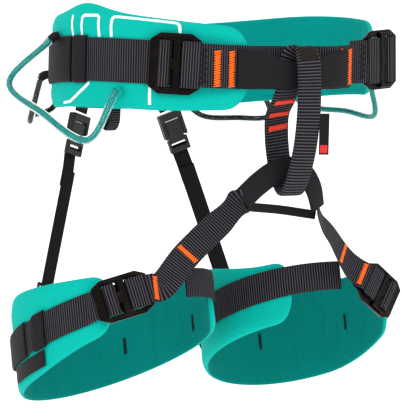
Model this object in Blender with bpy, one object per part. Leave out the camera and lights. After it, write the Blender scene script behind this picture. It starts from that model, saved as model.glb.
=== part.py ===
"""Sit harness for climbing: padded waist belt, two padded leg loops, belay loop, slide buckles.

The origin is the centre of the waist opening at the middle of the waist webbing. +Z is up,
-Y is the wearer's front and +X the wearer's left. Lengths are worked out in millimetres and
turned to metres where a mesh is made. "t" is an angle in degrees round a waist or a thigh,
0 at the front; "s" is a distance along the webbing, "n" a distance outwards from its middle
surface and "h" a height from its middle line.
"""

import math

import bpy
import numpy as np

MM = 0.001

# Waist: an ellipse at the middle of the webbing, with its sides raised and its back lowered.
WAIST_HALF_WIDTH = 154.0
WAIST_HALF_DEPTH = 129.0
WAIST_SIDE_RISE = 10.0
WAIST_BACK_DROP = 14.0
WAIST_WEBBING = 38.0
WAIST_PAD_START = 62.0
WAIST_PAD_END = 341.0
WAIST_PAD_UP = 41.0
WAIST_PAD_DOWN = 36.0
BACK_CENTRE = 187.0

# Legs: a ring round each thigh, higher at the front, with walls that lean back as they rise.
LEG_CENTRE_X = 100.7
LEG_CENTRE_Y = 4.9
LEG_CENTRE_Z = -231.0
LEG_RADIUS = 88.2
LEG_SLOPE = 0.47
LEG_INNER_RISE = 0.10
LEG_LEAN = 0.2
LEG_WEBBING = 25.0
LEG_PAD_DOWN = 36.0
LEG_PAD_UP_INNER = 18.0
LEG_PAD_UP_OUTER = 46.0

# Thicknesses and clearances.
WEB = 1.4
SHELL = 1.0
WAIST_FOAM = 6.0
LEG_FOAM = 5.0
GAP = 0.4

# The slide buckles: (length along the webbing, height, half height of the windows).
WAIST_BUCKLE = (45.0, 53.0, 20.5)
LEG_BUCKLE = (50.0, 38.0, 14.0)
PLATE = 4.0
SLIDER_PLATE = 2.6
FRAME_OFF = 1.6
END_BAR = 9.0
MID_BAR = 6.0

# Front: upper tie-in loop, belay loop and lower tie-in.
BELAY_WIDTH = 25.0
BELAY_THICK = 4.4
TIE_IN_THICK = 2.6
SLEEVE_WIDTH = 22.0
SLEEVE_THICK = 3.4
HIP_AXIS = (0.0, -113.0, -115.0)
BELAY_AXIS = (0.0, -130.0, -45.0)
FRONT_DIP = 12.2

# The belay loop's middle line, round and down from its top.
BELAY_ROUTE = (
    (-3, -130, 16.5),
    (0, -136.5, 11.5),
    (1, -138.7, -8),
    (1, -139.2, -38),
    (0, -136, -70),
    (-1, -127.5, -98),
    (-1, -117.5, -110),
    (-1, -107, -99),
    (-2, -101, -80),
    (-4, -100, -60),
    (-7, -104.5, -42),
    (-10, -117.2, -28),
    (-11, -124.8, -14),
    (-8, -124.8, 8),
)

# The lower tie-in from the right riser to the left one, and the strap below it.
TIE_IN_ROUTE = (
    (-50, -113, -115),
    (-34, -115.5, -101),
    (-17, -117, -91),
    (0, -117.3, -88.5),
    (14, -117, -92.5),
    (26, -116, -106),
    (33, -114, -124),
)
CROTCH_WIDTH = 8.0
CROTCH_ROUTE = ((-37, -108, -121.5), (0, -101, -125.5), (27, -108, -129.5))

# The two risers' middle lines down to their buckles, and their width directions at the top.
RISER_ROUTES = {
    "right": ((-52.5, -112.3, -117.2), (-67, -107, -133), (-83, -101, -149), (-98, -95, -166)),
    "left": ((36.5, -112.4, -131), (45, -107.5, -140), (60, -101.5, -151.5), (80, -95.5, -172)),
}
RISER_ACROSS = {"right": (0.62, -0.12, 0.77), "left": (0.52, 0.72, 0.46)}

# Gear loops: a cord core in a clear tube.
CORE_RADIUS = 2.1
TUBE_INNER = 2.5
TUBE_OUTER = 3.6

# Each loop's corners as (t, n, h): from its front end round to its rear end.
GEAR_LOOPS = {
    "right_front": ((-65, 9, -26), (-70, 33, -68), (-85, 42, -46), (-102, 45, -20), (-101, 9, 17)),
    "left_front": ((80, 9, -25), (88, 26, -54), (103, 31, -50), (118, 28, -42), (126, 9, -8)),
    "right_rear": ((-121, 9, -14), (-131, 21, -50), (-140, 26, -46), (-150, 22, -38), (-146, 9, -24)),
    "left_rear": ((159, 9, -30), (151, 17, -47), (140, 22, -51), (129, 22, -51), (131, 9, -26)),
}

# The haul loop at the middle of the back: (n, h) points, and its outward and upward shares.
HAUL_WIDTH = 13.0
HAUL_LOOP = ((0.2, -21), (0.2, -40), (1.5, -50), (7, -56), (12, -49), (9, -36), (3.6, -23))
HAUL_NORMALS = ((1, 0), (1, 0), (1, 0.35), (0.2, -1), (1, 0), (1, 0.3), (1, 0.3))

# Rear elastic straps and their side-release buckles. TAB_AT is each tab's distance along the
# belt from the middle of the back.
STRAP_WIDTH = 16.0
SOCKET = (24.0, 20.0, 8.0)
PLUG = (20.0, 13.0, 5.0)
TAB_AT = {"right": 48.0, "left": -55.0}
REAR_TOPS = {"right": (-64.0, 118.5, -54.0), "left": (39.0, 125.0, -54.0)}
REAR_ENDS = {"right": (-112.0, 104.5, -236.0), "left": (104.0, 104.5, -234.0)}


def unit(vectors):
    """The vectors at length one."""
    vectors = np.asarray(vectors, float)
    return vectors / np.linalg.norm(vectors, axis=-1, keepdims=True)


def through(points, count, closed=False):
    """A smooth curve through the points (Catmull-Rom), as `count` evenly numbered samples."""
    points = np.asarray(points, float)
    if closed:
        padded = np.concatenate([points[-1:], points, points[:2]])
        at = np.arange(count) * len(points) / count
    else:
        first = 2 * points[0] - points[1]
        last = 2 * points[-1] - points[-2]
        padded = np.concatenate([[first], points, [last]])
        at = np.linspace(0, len(points) - 1, count)
    low = np.minimum(at.astype(int), len(padded) - 4)
    u = (at - low)[:, None]
    p0, p1, p2, p3 = (padded[low + i] for i in range(4))
    return 0.5 * (
        2 * p1
        + (p2 - p0) * u
        + (2 * p0 - 5 * p1 + 4 * p2 - p3) * u**2
        + (3 * p1 - p0 - 3 * p2 + p3) * u**3
    )


def smooth_step(low, high, x):
    """0 below `low`, 1 above `high`, and a smooth rise between."""
    u = np.clip((np.asarray(x, float) - low) / (high - low), 0, 1)
    return u * u * (3 - 2 * u)


# ---------------------------------------------------------------- materials and meshes


def material(name, colour, roughness, metallic=0.0):
    """A Principled BSDF of one colour (linear RGB), roughness and metallic value."""
    made = bpy.data.materials.get(name) or bpy.data.materials.new(name)
    made.use_nodes = True
    shader = made.node_tree.nodes["Principled BSDF"]
    shader.inputs["Base Color"].default_value = (*colour, 1)
    shader.inputs["Roughness"].default_value = roughness
    shader.inputs["Metallic"].default_value = metallic
    return made


FINISHES = {
    "shell": ((0.0, 0.49, 0.41), 0.6, 0.0),
    "lining": ((0.0, 0.27, 0.23), 0.8, 0.0),
    "foam": ((0.12, 0.12, 0.13), 0.9, 0.0),
    "webbing": ((0.013, 0.012, 0.015), 0.75, 0.0),
    "smooth": ((0.011, 0.010, 0.013), 0.6, 0.0),
    "buckle": ((0.011, 0.010, 0.009), 0.35, 0.9),
    "plastic": ((0.10, 0.10, 0.09), 0.45, 0.0),
    "teal_cord": ((0.0, 0.30, 0.29), 0.5, 0.0),
    "black_cord": ((0.010, 0.016, 0.015), 0.4, 0.0),
    "clear_tube": ((0.85, 0.88, 0.88), 0.1, 0.0),
    "label": ((0.010, 0.009, 0.010), 0.5, 0.0),
}


def solid(name, points, faces, finish, origin=(0, 0, 0)):
    """One object from points in millimetres, with its origin at `origin` and faces out."""
    origin = np.asarray(origin, float)
    mesh = bpy.data.meshes.new(name)
    local = (np.asarray(points, float) - origin) * MM
    mesh.from_pydata(local.tolist(), [], [list(map(int, face)) for face in faces])
    corners = local[np.array([[f[0], f[i], f[i + 1]] for f in faces for i in range(1, len(f) - 1)])]
    if np.linalg.det(corners).sum() < 0:
        mesh.flip_normals()
    mesh.materials.append(material(finish, *FINISHES[finish]))
    mesh.shade_smooth()
    mesh.set_sharp_from_angle(angle=math.radians(35))
    made = bpy.data.objects.new(name, mesh)
    made.location = origin * MM
    bpy.context.scene.collection.objects.link(made)
    return made


def sweep(name, rows, finish, closed=False, origin=(0, 0, 0)):
    """A solid through rows (N, K, 3) of section points, capped at its ends unless closed."""
    count, around = rows.shape[:2]
    steps = np.arange(count if closed else count - 1)
    faces = [
        (
            i * around + j,
            i * around + (j + 1) % around,
            (i + 1) % count * around + (j + 1) % around,
            (i + 1) % count * around + j,
        )
        for i in steps
        for j in range(around)
    ]
    if not closed:
        faces.append(tuple(range(around))[::-1])
        faces.append(tuple((count - 1) * around + j for j in range(around)))
    return solid(name, rows.reshape(-1, 3), faces, finish, origin)


def ribbon(name, centres, across, thickness, finish, closed=False, origin=(0, 0, 0)):
    """A strap round its centres, whose full width at each one is the vector `across`."""
    if closed:
        along = np.roll(centres, -1, axis=0) - np.roll(centres, 1, axis=0)
    else:
        along = np.gradient(centres, axis=0)
    half = unit(np.cross(along, across)) * thickness / 2
    corners = ((-0.5, -1), (0.5, -1), (0.5, 1), (-0.5, 1))
    rows = np.stack([centres + a * across + b * half for a, b in corners], axis=1)
    return sweep(name, rows, finish, closed, origin)


def free_strap(name, points, normals, width, thickness, count, finish, origin=(0, 0, 0)):
    """A strap along a smooth curve, faces turned to the smoothly changing normals."""
    centres = through(points, count)
    along = unit(np.gradient(centres, axis=0))
    aim = through(normals, count)
    across = unit(np.cross(along, aim)) * width
    return ribbon(name, centres, across, thickness, finish, origin=origin)


def rings(centres, radius, sides):
    """Circles of `sides` points about a curve, turned as little as possible along it."""
    along = unit(np.gradient(centres, axis=0))
    first = unit(np.cross(along[0], (0.3, 0.2, 1.0)))
    frames = [first]
    for direction in along[1:]:
        frames.append(unit(frames[-1] - direction * frames[-1].dot(direction)))
    a = np.array(frames)
    b = np.cross(along, a)
    angles = np.arange(sides) * 2 * math.pi / sides
    turn = a[:, None] * np.cos(angles)[:, None] + b[:, None] * np.sin(angles)[:, None]
    return centres[:, None] + radius * turn


def plate(name, place, p_breaks, h_breaks, holes, q_range, finish, clipped=False, origin=None):
    """A flat plate of grid cells in a place's own axes, with cells left out as windows.

    `holes` lists (column, row) cells that stay open. With `clipped`, each corner cell is cut
    across into a triangle, which chamfers the plate's corners.
    """
    columns, rows = len(p_breaks) - 1, len(h_breaks) - 1
    corner = {(0, 0): 0, (columns - 1, 0): 1, (columns - 1, rows - 1): 2, (0, rows - 1): 3}
    cells = []
    for i in range(columns):
        for j in range(rows):
            if (i, j) in holes:
                continue
            cell = [(i, j), (i + 1, j), (i + 1, j + 1), (i, j + 1)]
            if clipped and (i, j) in corner:
                del cell[corner[(i, j)]]
            cells.append(cell)
    used = sorted({spot for cell in cells for spot in cell})
    number = {spot: k for k, spot in enumerate(used)}
    flat = np.array([(p_breaks[i], h_breaks[j]) for i, j in used])
    low = [tuple(number[spot] for spot in cell) for cell in cells]
    edges = {(a, b) for cell in low for a, b in zip(cell, cell[1:] + cell[:1])}
    rim = [(a, b) for a, b in sorted(edges) if (b, a) not in edges]
    count = len(used)
    faces = [cell[::-1] for cell in low]
    faces += [tuple(k + count for k in cell) for cell in low]
    faces += [(a, b, b + count, a + count) for a, b in rim]
    points = np.concatenate([place.points(flat[:, 0], flat[:, 1], q) for q in q_range])
    return solid(name, points, faces, finish, place.origin if origin is None else origin)


class Place:
    """A spot with three axes: along the webbing (p), up across it (h) and outwards (q)."""

    def __init__(self, origin, along, up):
        self.origin = np.asarray(origin, float)
        self.along = unit(along)
        self.up = unit(np.asarray(up) - self.along * np.dot(up, self.along))
        self.out = np.cross(self.along, self.up)

    def facing(self, outwards):
        """The same place with its outward axis turned to the side of `outwards`."""
        if np.dot(self.out, outwards) < 0:
            self.out = -self.out
        return self

    def points(self, p, h, q):
        """World points, in millimetres, at distances p, h and q from the origin."""
        p, h, q = np.broadcast_arrays(*(np.asarray(v, float)[..., None] for v in (p, h, q)))
        return self.origin + p * self.along + h * self.up + q * self.out


class Track:
    """The closed line of the middle of the webbing round the waist or a thigh."""

    def __init__(self, centre, half_width, half_depth, side, height, lean):
        self.centre = np.asarray(centre, float)
        self.size = (half_width, half_depth)
        self.side = side
        self.height = height
        self.up = np.array([0.0, lean, 1.0])
        self.angles = np.arange(-360.0, 721.0)
        steps = np.linalg.norm(np.diff(self.line(self.angles), axis=0), axis=1)
        self.lengths = np.concatenate([[0.0], np.cumsum(steps)])

    def line(self, t):
        """Points of the line itself at the angles t."""
        r = np.radians(np.asarray(t, float))
        x = self.side * self.size[0] * np.sin(r)
        y = -self.size[1] * np.cos(r)
        return self.centre + np.stack([x, y, self.height(r)], axis=-1)

    def out(self, t):
        """Horizontal unit normals, outwards from the line."""
        r = np.radians(np.asarray(t, float))
        x = self.side * np.sin(r) / self.size[0]
        y = -np.cos(r) / self.size[1]
        return unit(np.stack([x, y, 0 * x], axis=-1))

    def tangent(self, t):
        """Unit tangents in the direction of rising t."""
        t = np.asarray(t, float)
        return unit(self.line(t + 0.5) - self.line(t - 0.5))

    def point(self, t, n=0.0, h=0.0):
        """Points at the angles t, n outwards and h up the leaning wall."""
        n, h = (np.asarray(v, float)[..., None] for v in (n, h))
        return self.line(t) + n * self.out(t) + h * self.up

    def moved(self, t, distance):
        """The angle that lies `distance` further along the line than t."""
        start = np.interp(t, self.angles, self.lengths)
        return np.interp(start + np.asarray(distance, float), self.lengths, self.angles)

    def distance(self, t):
        """The signed distance along the line from its front to the angle t."""
        return np.interp(t, self.angles, self.lengths) - np.interp(0.0, self.angles, self.lengths)

    def place(self, t, n, toward):
        """A place on the line with its p axis toward rising (1) or falling (-1) t."""
        spot = Place(self.point(t, n), toward * self.tangent(t), self.up)
        return spot.facing(self.out(t))


def waist_height(r):
    return WAIST_SIDE_RISE * np.sin(r) ** 2 - WAIST_BACK_DROP * (1 - np.cos(r)) / 2


def leg_height(r):
    front = LEG_SLOPE * LEG_RADIUS * np.cos(r)
    return front - LEG_INNER_RISE * LEG_RADIUS * np.sin(r)


WAIST = Track((0, 0, 0), WAIST_HALF_WIDTH, WAIST_HALF_DEPTH, 1, waist_height, 0.0)
LEGS = {
    name: Track(
        (side * LEG_CENTRE_X, LEG_CENTRE_Y, LEG_CENTRE_Z),
        LEG_RADIUS,
        LEG_RADIUS,
        side,
        leg_height,
        LEG_LEAN,
    )
    for name, side in (("right", -1), ("left", 1))
}
LEG_SPANS = {"right": (36.0, 311.0), "left": (62.0, 320.0)}


def wrap(name, track, t, n_range, low, high, finish, origin=(0, 0, 0)):
    """A layer round a track between two offsets and two heights, each one value or many."""
    low, high = (np.broadcast_to(v, np.shape(t)) for v in (low, high))
    n_in, n_out = n_range
    rows = np.stack(
        [
            track.point(t, n_in, low),
            track.point(t, n_out, low),
            track.point(t, n_out, high),
            track.point(t, n_in, high),
        ],
        axis=1,
    )
    return sweep(name, rows, finish, origin=origin)


def band(name, track, t, n, width, finish, thickness=WEB, origin=(0, 0, 0)):
    """A strap of true width round a track: its height grows where the track slopes."""
    slope = track.tangent(t)[:, 2]
    half = width / 2 / np.sqrt(1 - slope**2)
    return wrap(name, track, t, (n - thickness / 2, n + thickness / 2), -half, half, finish, origin)


def upright(track, t, width):
    """Width vectors up a track's wall that give a strap its true width where the track slopes."""
    slope = track.tangent(t)[..., 2:]
    return track.up * width / np.sqrt(1 - slope**2)


# ---------------------------------------------------------------- slide buckles


def buckle(prefix, spot, size):
    """The outer frame and the inner slider of one slide buckle at a place on the webbing."""
    length, height, window = size
    end = length / 2
    p_breaks = (-end, END_BAR - end, -MID_BAR / 2, MID_BAR / 2, end - END_BAR, end)
    h_breaks = (-height / 2, -window, window, height / 2)
    plate(
        prefix + "_buckle_frame",
        spot,
        p_breaks,
        h_breaks,
        {(1, 1), (3, 1)},
        (FRAME_OFF, FRAME_OFF + PLATE),
        "buckle",
        clipped=True,
    )
    floor = FRAME_OFF + PLATE + GAP
    rail = height / 2 - 2
    plate(
        prefix + "_buckle_slider",
        spot,
        (-12.0, -7.0, -1.5, 4.5),
        (-rail, -window, -5.0, 5.0, window, rail),
        {(0, 1), (0, 2), (0, 3), (1, 1), (1, 3)},
        (floor, floor + SLIDER_PLATE),
        "buckle",
        origin=slider_axis(spot),
    )


def slider_axis(spot):
    """The point on the slider's tilt axis, at the edge that stays down on the frame."""
    return spot.points(4.5, 0.0, FRAME_OFF + PLATE + GAP)


def bar_turn(spot, size, lead, fall):
    """Points of webbing that comes back under itself round the front bar of a frame.

    It starts `lead` before the bar on the inside, and `fall` past the bar's inner edge it lies
    2.2 outside the line it started on.
    """
    reach = size[0] / 2 - END_BAR
    radius = (FRAME_OFF + PLATE + WEB + GAP) / 2
    angles = np.radians(np.linspace(-90, -270, 7))
    p = [reach + lead, reach + lead / 2, *(reach + radius * np.cos(angles))]
    q = [0.0, 0.0, *(radius + radius * np.sin(angles))]
    p += [reach + END_BAR, reach + (END_BAR + fall) / 2, reach + fall]
    q += [2 * radius, radius + 1.3, 2.2]
    return spot.points(p, 0.0, q)


def loose_end(name, track, spot, t, width):
    """The adjustable webbing: out from under its buckle and on round the track to its sleeve."""
    under = spot.points((-1.5, -12.0, -24.0), 0.0, 0.0)
    centres = np.concatenate([under, track.point(t)])
    up = spot.up * np.sign(spot.up[2]) * width
    across = np.concatenate([np.broadcast_to(up, under.shape), upright(track, t, width)])
    ribbon(name, centres, across, WEB, "webbing")


# ---------------------------------------------------------------- waist belt


def rounded_ends(track, t, reach):
    """How much of its height a pad keeps at each t: it rounds off over `reach` at its ends."""
    length = np.interp(t, track.angles, track.lengths)
    inside = np.minimum(length - length[0], length[-1] - length)
    u = np.clip(1 - inside / reach, 0, 1)
    return np.maximum(np.sqrt(1 - u**2), 0.4)


def span(start, end, steps):
    """Angles from start to end, closer together near both ends for their rounding."""
    edge = np.array([0.0, 1.0, 2.5, 5.0, 9.0])
    middle = np.linspace(start + edge[-1], end - edge[-1], steps)
    return np.concatenate([start + edge[:-1], middle, end - edge[-2::-1]])


def pad(prefix, track, t, low, high, foam):
    """Three layers of one pad: the outer shell fabric, the foam and the inner lining."""
    outer = -WEB / 2 - GAP
    for part, depth, trim in (("shell", SHELL, 0.0), ("foam", foam, 1.5), ("lining", SHELL, 0.0)):
        layer = (outer - depth, outer)
        wrap(f"{prefix}_pad_{part}", track, t, layer, low + trim, high - trim, part)
        outer -= depth + GAP


def waist_pad():
    """The waist pad: a tongue at the wearer's front right, full height from hip to hip."""
    t = span(WAIST_PAD_START, WAIST_PAD_END, 36)
    keep = rounded_ends(WAIST, t, 26.0)
    hip = np.exp(-(((t - 276) / 13) ** 2))
    far = 1 - smooth_step(WAIST_PAD_START, 125, t)
    high = WAIST_PAD_UP + 8 * hip - 7 * far - 6 * smooth_step(280, WAIST_PAD_END, t)
    flank = smooth_step(210, 255, t) - 0.7 * smooth_step(305, WAIST_PAD_END, t)
    low = WAIST_PAD_DOWN + 6 * flank - 2 * far
    pad("waist", WAIST, t, -low * keep, high * keep, WAIST_FOAM)


def waist_webbing():
    """The ribbed webbing: the two adjustable lengths, the back band and the front length."""
    right, left = waist_spots()
    loose_end("right_waist_webbing", WAIST, right, np.linspace(-57, -96, 8), WAIST_WEBBING)
    loose_end("left_waist_webbing", WAIST, left, np.linspace(66, 98, 6), WAIST_WEBBING)
    band("back_waist_webbing", WAIST, np.linspace(100, 262, 22), 0.0, WAIST_WEBBING, "webbing")
    turns = [bar_turn(spot, WAIST_BUCKLE, 26.0, 25.0) for spot in (right, left)]
    t = np.linspace(-24, 22, 13)
    front = WAIST.point(t, 2.2 - FRONT_DIP * slack(WAIST.distance(t)))
    centres = np.concatenate([turns[0], front, turns[1][::-1]])
    across = np.broadcast_to((0.0, 0.0, WAIST_WEBBING), centres.shape)
    ribbon("front_waist_webbing", centres, across, WEB, "webbing")


def waist_spots():
    """The places of the two waist buckles: the left one stands out from the belt's curve."""
    right = WAIST.place(-44.8, 0.0, 1)
    left = Place((103.0, -103.5, 6.0), (-0.97, -0.24, -0.05), WAIST.up).facing((0.3, -1, 0))
    return right, left


def slack(s):
    """The share, at the distance s, by which the tie-in loop stands off the front webbing."""
    return smooth_step(-58, -26, s) * (1 - smooth_step(2, 40, s))


def upper_tie_in_loop():
    """The smooth loop stitched on the front webbing, straighter than it and gathered mid-way."""
    s = np.array([-64, -56, -48, -40, -28, -14, -3, 8, 20, 32, 43, 50.0])
    n = 4.7 - 2.4 * slack(s)
    high = 17.0 - 10.5 * np.exp(-(((s + 8) / 38) ** 2))
    sheet = np.stack([n - TIE_IN_THICK / 2, n + TIE_IN_THICK / 2])
    wrap("upper_tie_in_loop", WAIST, WAIST.moved(0.0, s), sheet, -18.0, high, "smooth")


def cover(name, track, t, width, thickness, lip, finish):
    """A band over the webbing, with lips that turn down past its two edges."""
    inner = WEB / 2 + GAP
    half = width / 2 + GAP
    profile = [
        (inner, -half),
        (inner - lip, -half),
        (inner - lip, -half - thickness),
        (inner + thickness, -half - thickness),
        (inner + thickness, half + thickness),
        (inner - lip, half + thickness),
        (inner - lip, half),
        (inner, half),
    ]
    steep = 1 / np.sqrt(1 - track.tangent(t)[:, 2] ** 2)
    rows = np.stack([track.point(t, n + 0 * t, h * steep) for n, h in profile], axis=1)
    middle = track.point(t, n=0.0).mean(axis=0)
    sweep(name, rows, finish, origin=middle)


def waist_trim():
    """The sleeves that the adjustable webbing comes out of, and the keepers beside them."""
    for name, keep, sleeve in (("right", (-81, -88), (-90, -118)), ("left", (82, 89), (91, 119))):
        t = np.linspace(*sleeve, 6)
        cover(f"{name}_waist_sleeve", WAIST, t, WAIST_WEBBING, 1.2, 1.0, "smooth")
        t = np.linspace(*keep, 4)
        cover(f"{name}_waist_keeper", WAIST, t, WAIST_WEBBING, 2.2, 1.0, "smooth")


# ---------------------------------------------------------------- belay loop and tie-ins

def belay_loop():
    """The closed belay loop round the upper and lower tie-ins, its back strand set to one side."""
    centres = through(BELAY_ROUTE, 44, closed=True)
    along = unit(np.roll(centres, -1, axis=0) - np.roll(centres, 1, axis=0))
    across = unit(np.array([1.0, 0.0, 0.0]) - along * along[:, :1]) * BELAY_WIDTH
    ribbon("belay_loop", centres, across, BELAY_THICK, "webbing", True, BELAY_AXIS)


def belay_label():
    """The small cloth flag sewn on the belay loop's left edge."""
    edge = 1.0 + BELAY_WIDTH / 2 + GAP
    spot = Place((edge, -138.0, -57.0), (1, -0.35, 0), (0, 0, 1))
    plate("belay_label", spot, (0.0, 9.0), (-18.0, 18.0), set(), (-0.5, 0.5), "label")


def lower_tie_in():
    """The smooth sleeve through the belay loop's bottom that joins the two leg risers."""
    normals = [(0, -1, 0)] * 5 + [(0.15, -1, 0), (0.35, -1, 0)]
    free_strap("lower_tie_in", TIE_IN_ROUTE, normals, SLEEVE_WIDTH, SLEEVE_THICK, 17, "smooth")
    normals = [(0, -1, 0)] * len(CROTCH_ROUTE)
    free_strap("crotch_strap", CROTCH_ROUTE, normals, CROTCH_WIDTH, WEB, 9, "smooth")


# ---------------------------------------------------------------- leg loops


def leg_pad(name, track):
    """One leg pad: low at the inner thigh, high round the outside and the back."""
    start, end = LEG_SPANS[name]
    t = span(start, end, 30)
    keep = rounded_ends(track, t, 20.0)
    outside = smooth_step(310, 235, t) * smooth_step(10, 120, t)
    rise = LEG_PAD_UP_INNER + (LEG_PAD_UP_OUTER - LEG_PAD_UP_INNER) * outside
    drop = LEG_PAD_DOWN - 9 * (1 - smooth_step(start, start + 60, t))
    pad(name + "_leg", track, t, -drop * keep, rise * keep, LEG_FOAM)


def leg_webbing(name, track):
    """The band sewn round the pad, the adjustable length, its sleeve, keeper and the riser."""
    band(f"{name}_leg_band", track, np.linspace(108, 350, 28), 0.0, LEG_WEBBING, "webbing")
    spot, t = leg_spot(name, track), np.linspace(50 if name == "right" else 60, 104, 9)
    loose_end(f"{name}_leg_webbing", track, spot, t, LEG_WEBBING)
    cover(f"{name}_leg_keeper", track, np.linspace(77, 86, 4), LEG_WEBBING, 1.8, 0.9, "smooth")
    cover(f"{name}_leg_sleeve", track, np.linspace(94, 128, 7), LEG_WEBBING, 1.2, 0.9, "smooth")
    riser(name, spot)


def leg_spot(name, track):
    """The place of a leg buckle: the left one hangs in line with its riser."""
    if name == "right":
        return track.place(30.0, 1.0, -1)
    return Place((122.0, -88.0, -203.0), (-0.82, -0.14, 0.55), (0.5, 0.1, 0.84)).facing((0, -1, 0))


def riser(name, spot):
    """The strap from the lower tie-in down to the buckle, turned back round its front bar."""
    turn = bar_turn(spot, LEG_BUCKLE, 15.0, 21.0)[::-1]
    free = through([*RISER_ROUTES[name], turn[0], turn[1]], 16)
    centres = np.concatenate([free, turn[2:]])
    share = smooth_step(0.2, 1, np.arange(len(centres)) / len(free))[:, None]
    up = spot.up * np.sign(spot.up[2])
    aim = (1 - share) * np.array(RISER_ACROSS[name]) + share * up
    along = unit(np.gradient(centres, axis=0))
    across = unit(aim - along * (aim * along).sum(axis=1, keepdims=True)) * LEG_WEBBING
    ribbon(f"{name}_leg_riser", centres, across, WEB, "webbing", origin=HIP_AXIS)


def leg_label():
    """The cloth label sewn under the right leg's webbing, at the outer thigh."""
    t = np.linspace(79, 113, 6)
    steep = 1 / np.sqrt(1 - LEGS["right"].tangent(t)[:, 2] ** 2)
    high = -(LEG_WEBBING / 2 + 3.0) * steep
    wrap("leg_label", LEGS["right"], t, (-0.6, 0.0), high - 14.0, high, "label")


# ---------------------------------------------------------------- gear loops and haul loop


def gear_loop(name, corners, core):
    """A gear loop: a cord core inside a clear tube, both following one smooth curve."""
    corners = np.asarray(corners, float)
    points = WAIST.point(corners[:, 0], corners[:, 1], corners[:, 2])
    centres = through(points, 26)
    origin = (points[0] + points[-1]) / 2
    sweep(f"{name}_gear_core", rings(centres, CORE_RADIUS, 6), core, origin=origin)
    outer = rings(centres, TUBE_OUTER, 8)
    inner = rings(centres, TUBE_INNER, 8)
    rows = np.concatenate([outer, inner[::-1]])
    sweep(f"{name}_gear_tube", rows, "clear_tube", closed=True, origin=origin)


def gear_loops():
    """The four gear loops and the haul loop at the middle of the back."""
    for name, corners in GEAR_LOOPS.items():
        gear_loop(name, corners, "teal_cord" if name.endswith("front") else "black_cord")
    points = [WAIST.point(BACK_CENTRE, n, h) for n, h in HAUL_LOOP]
    normals = [WAIST.out(BACK_CENTRE) * a + WAIST.up * b for a, b in HAUL_NORMALS]
    free_strap("haul_loop", points, normals, HAUL_WIDTH, WEB, 17, "webbing")


# ---------------------------------------------------------------- rear straps


def rear_place(name):
    """The place at the top of a rear strap, its p axis down the strap."""
    top, end = np.array(REAR_TOPS[name]), np.array(REAR_ENDS[name])
    along = unit(end - top)
    out = unit(np.array([0.25 * np.sign(top[0]), 1.0, 0.0]))
    return Place(top, along, np.cross(out, along)).facing(out)


def rear_strap(name):
    """One rear strap: its tab, socket, plug, elastic strap and the slide near its lower end."""
    spot = rear_place(name)
    reach = np.linalg.norm(np.subtract(REAR_ENDS[name], REAR_TOPS[name]))
    t = WAIST.moved(BACK_CENTRE, TAB_AT[name])
    anchor = WAIST.point(t, 0.2, -22.5)
    points = [anchor, spot.points(-9.0, 0, 0), spot.points(-2.2, 0, 0)]
    normals = [WAIST.out(t), spot.out, spot.out]
    free_strap(f"{name}_socket_tab", points, normals, STRAP_WIDTH, WEB, 5, "webbing")
    long, wide, thick = SOCKET
    h_breaks = (-wide / 2 - 1.5, -wide / 2 + 2, wide / 2 - 2, wide / 2 + 1.5)
    layer = (-thick / 2, thick / 2)
    plate(f"{name}_buckle_socket", spot, (0, 7, long), h_breaks, {(1, 1)}, layer, "plastic")
    body, tongue, thin = PLUG
    p_breaks = (8.0, long + 1, long + 5, long + 9, long + 14)
    h_breaks = (-body / 2, -tongue / 2 - 1, tongue / 2 + 1, body / 2)
    holes = {(0, 0), (0, 2), (2, 1)}
    layer = (-thin / 2, thin / 2)
    plate(f"{name}_buckle_plug", spot, p_breaks, h_breaks, holes, layer, "plastic")
    p = np.linspace(long + 14 + GAP, reach, 10)
    centres = spot.points(p, 0, 0)
    across = np.broadcast_to(spot.up * STRAP_WIDTH, centres.shape)
    ribbon(f"{name}_rear_strap", centres, across, WEB, "webbing", origin=spot.origin)
    low = reach - 30
    half = STRAP_WIDTH / 2 + 2
    layer = (WEB / 2 + GAP, WEB / 2 + GAP + 2.4)
    plate(f"{name}_strap_slide", spot, (low, low + 14), (-half, half), set(), layer, "plastic")


def build():
    """Every piece of the harness."""
    for old in list(bpy.data.objects):
        bpy.data.objects.remove(old)
    waist_pad()
    waist_webbing()
    waist_trim()
    upper_tie_in_loop()
    for name, spot in zip(("right_waist", "left_waist"), waist_spots()):
        buckle(name, spot, WAIST_BUCKLE)
    belay_loop()
    belay_label()
    lower_tie_in()
    for name, track in LEGS.items():
        leg_pad(name, track)
        leg_webbing(name, track)
        buckle(name + "_leg", leg_spot(name, track), LEG_BUCKLE)
        rear_strap(name)
    leg_label()
    gear_loops()


build()
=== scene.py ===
"""The looks of a sit harness for climbing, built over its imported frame.

Axes as in the frame: the origin is the centre of the waist opening at the middle of the waist
webbing, +Z is up, -Y the wearer's front and +X the wearer's left. Shapes are worked out in
millimetres and put into the meshes in metres. Words used throughout: "t" is an angle in degrees
round the waist or a thigh from the front, "n" a distance outwards from the middle of the
webbing, "h" a height from its middle line and "s" a distance along a strap.
"""

import logging
import math
from dataclasses import dataclass, field
from enum import Enum
from typing import Any, Sequence

import bpy
import numpy as np
from mathutils import Matrix


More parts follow.
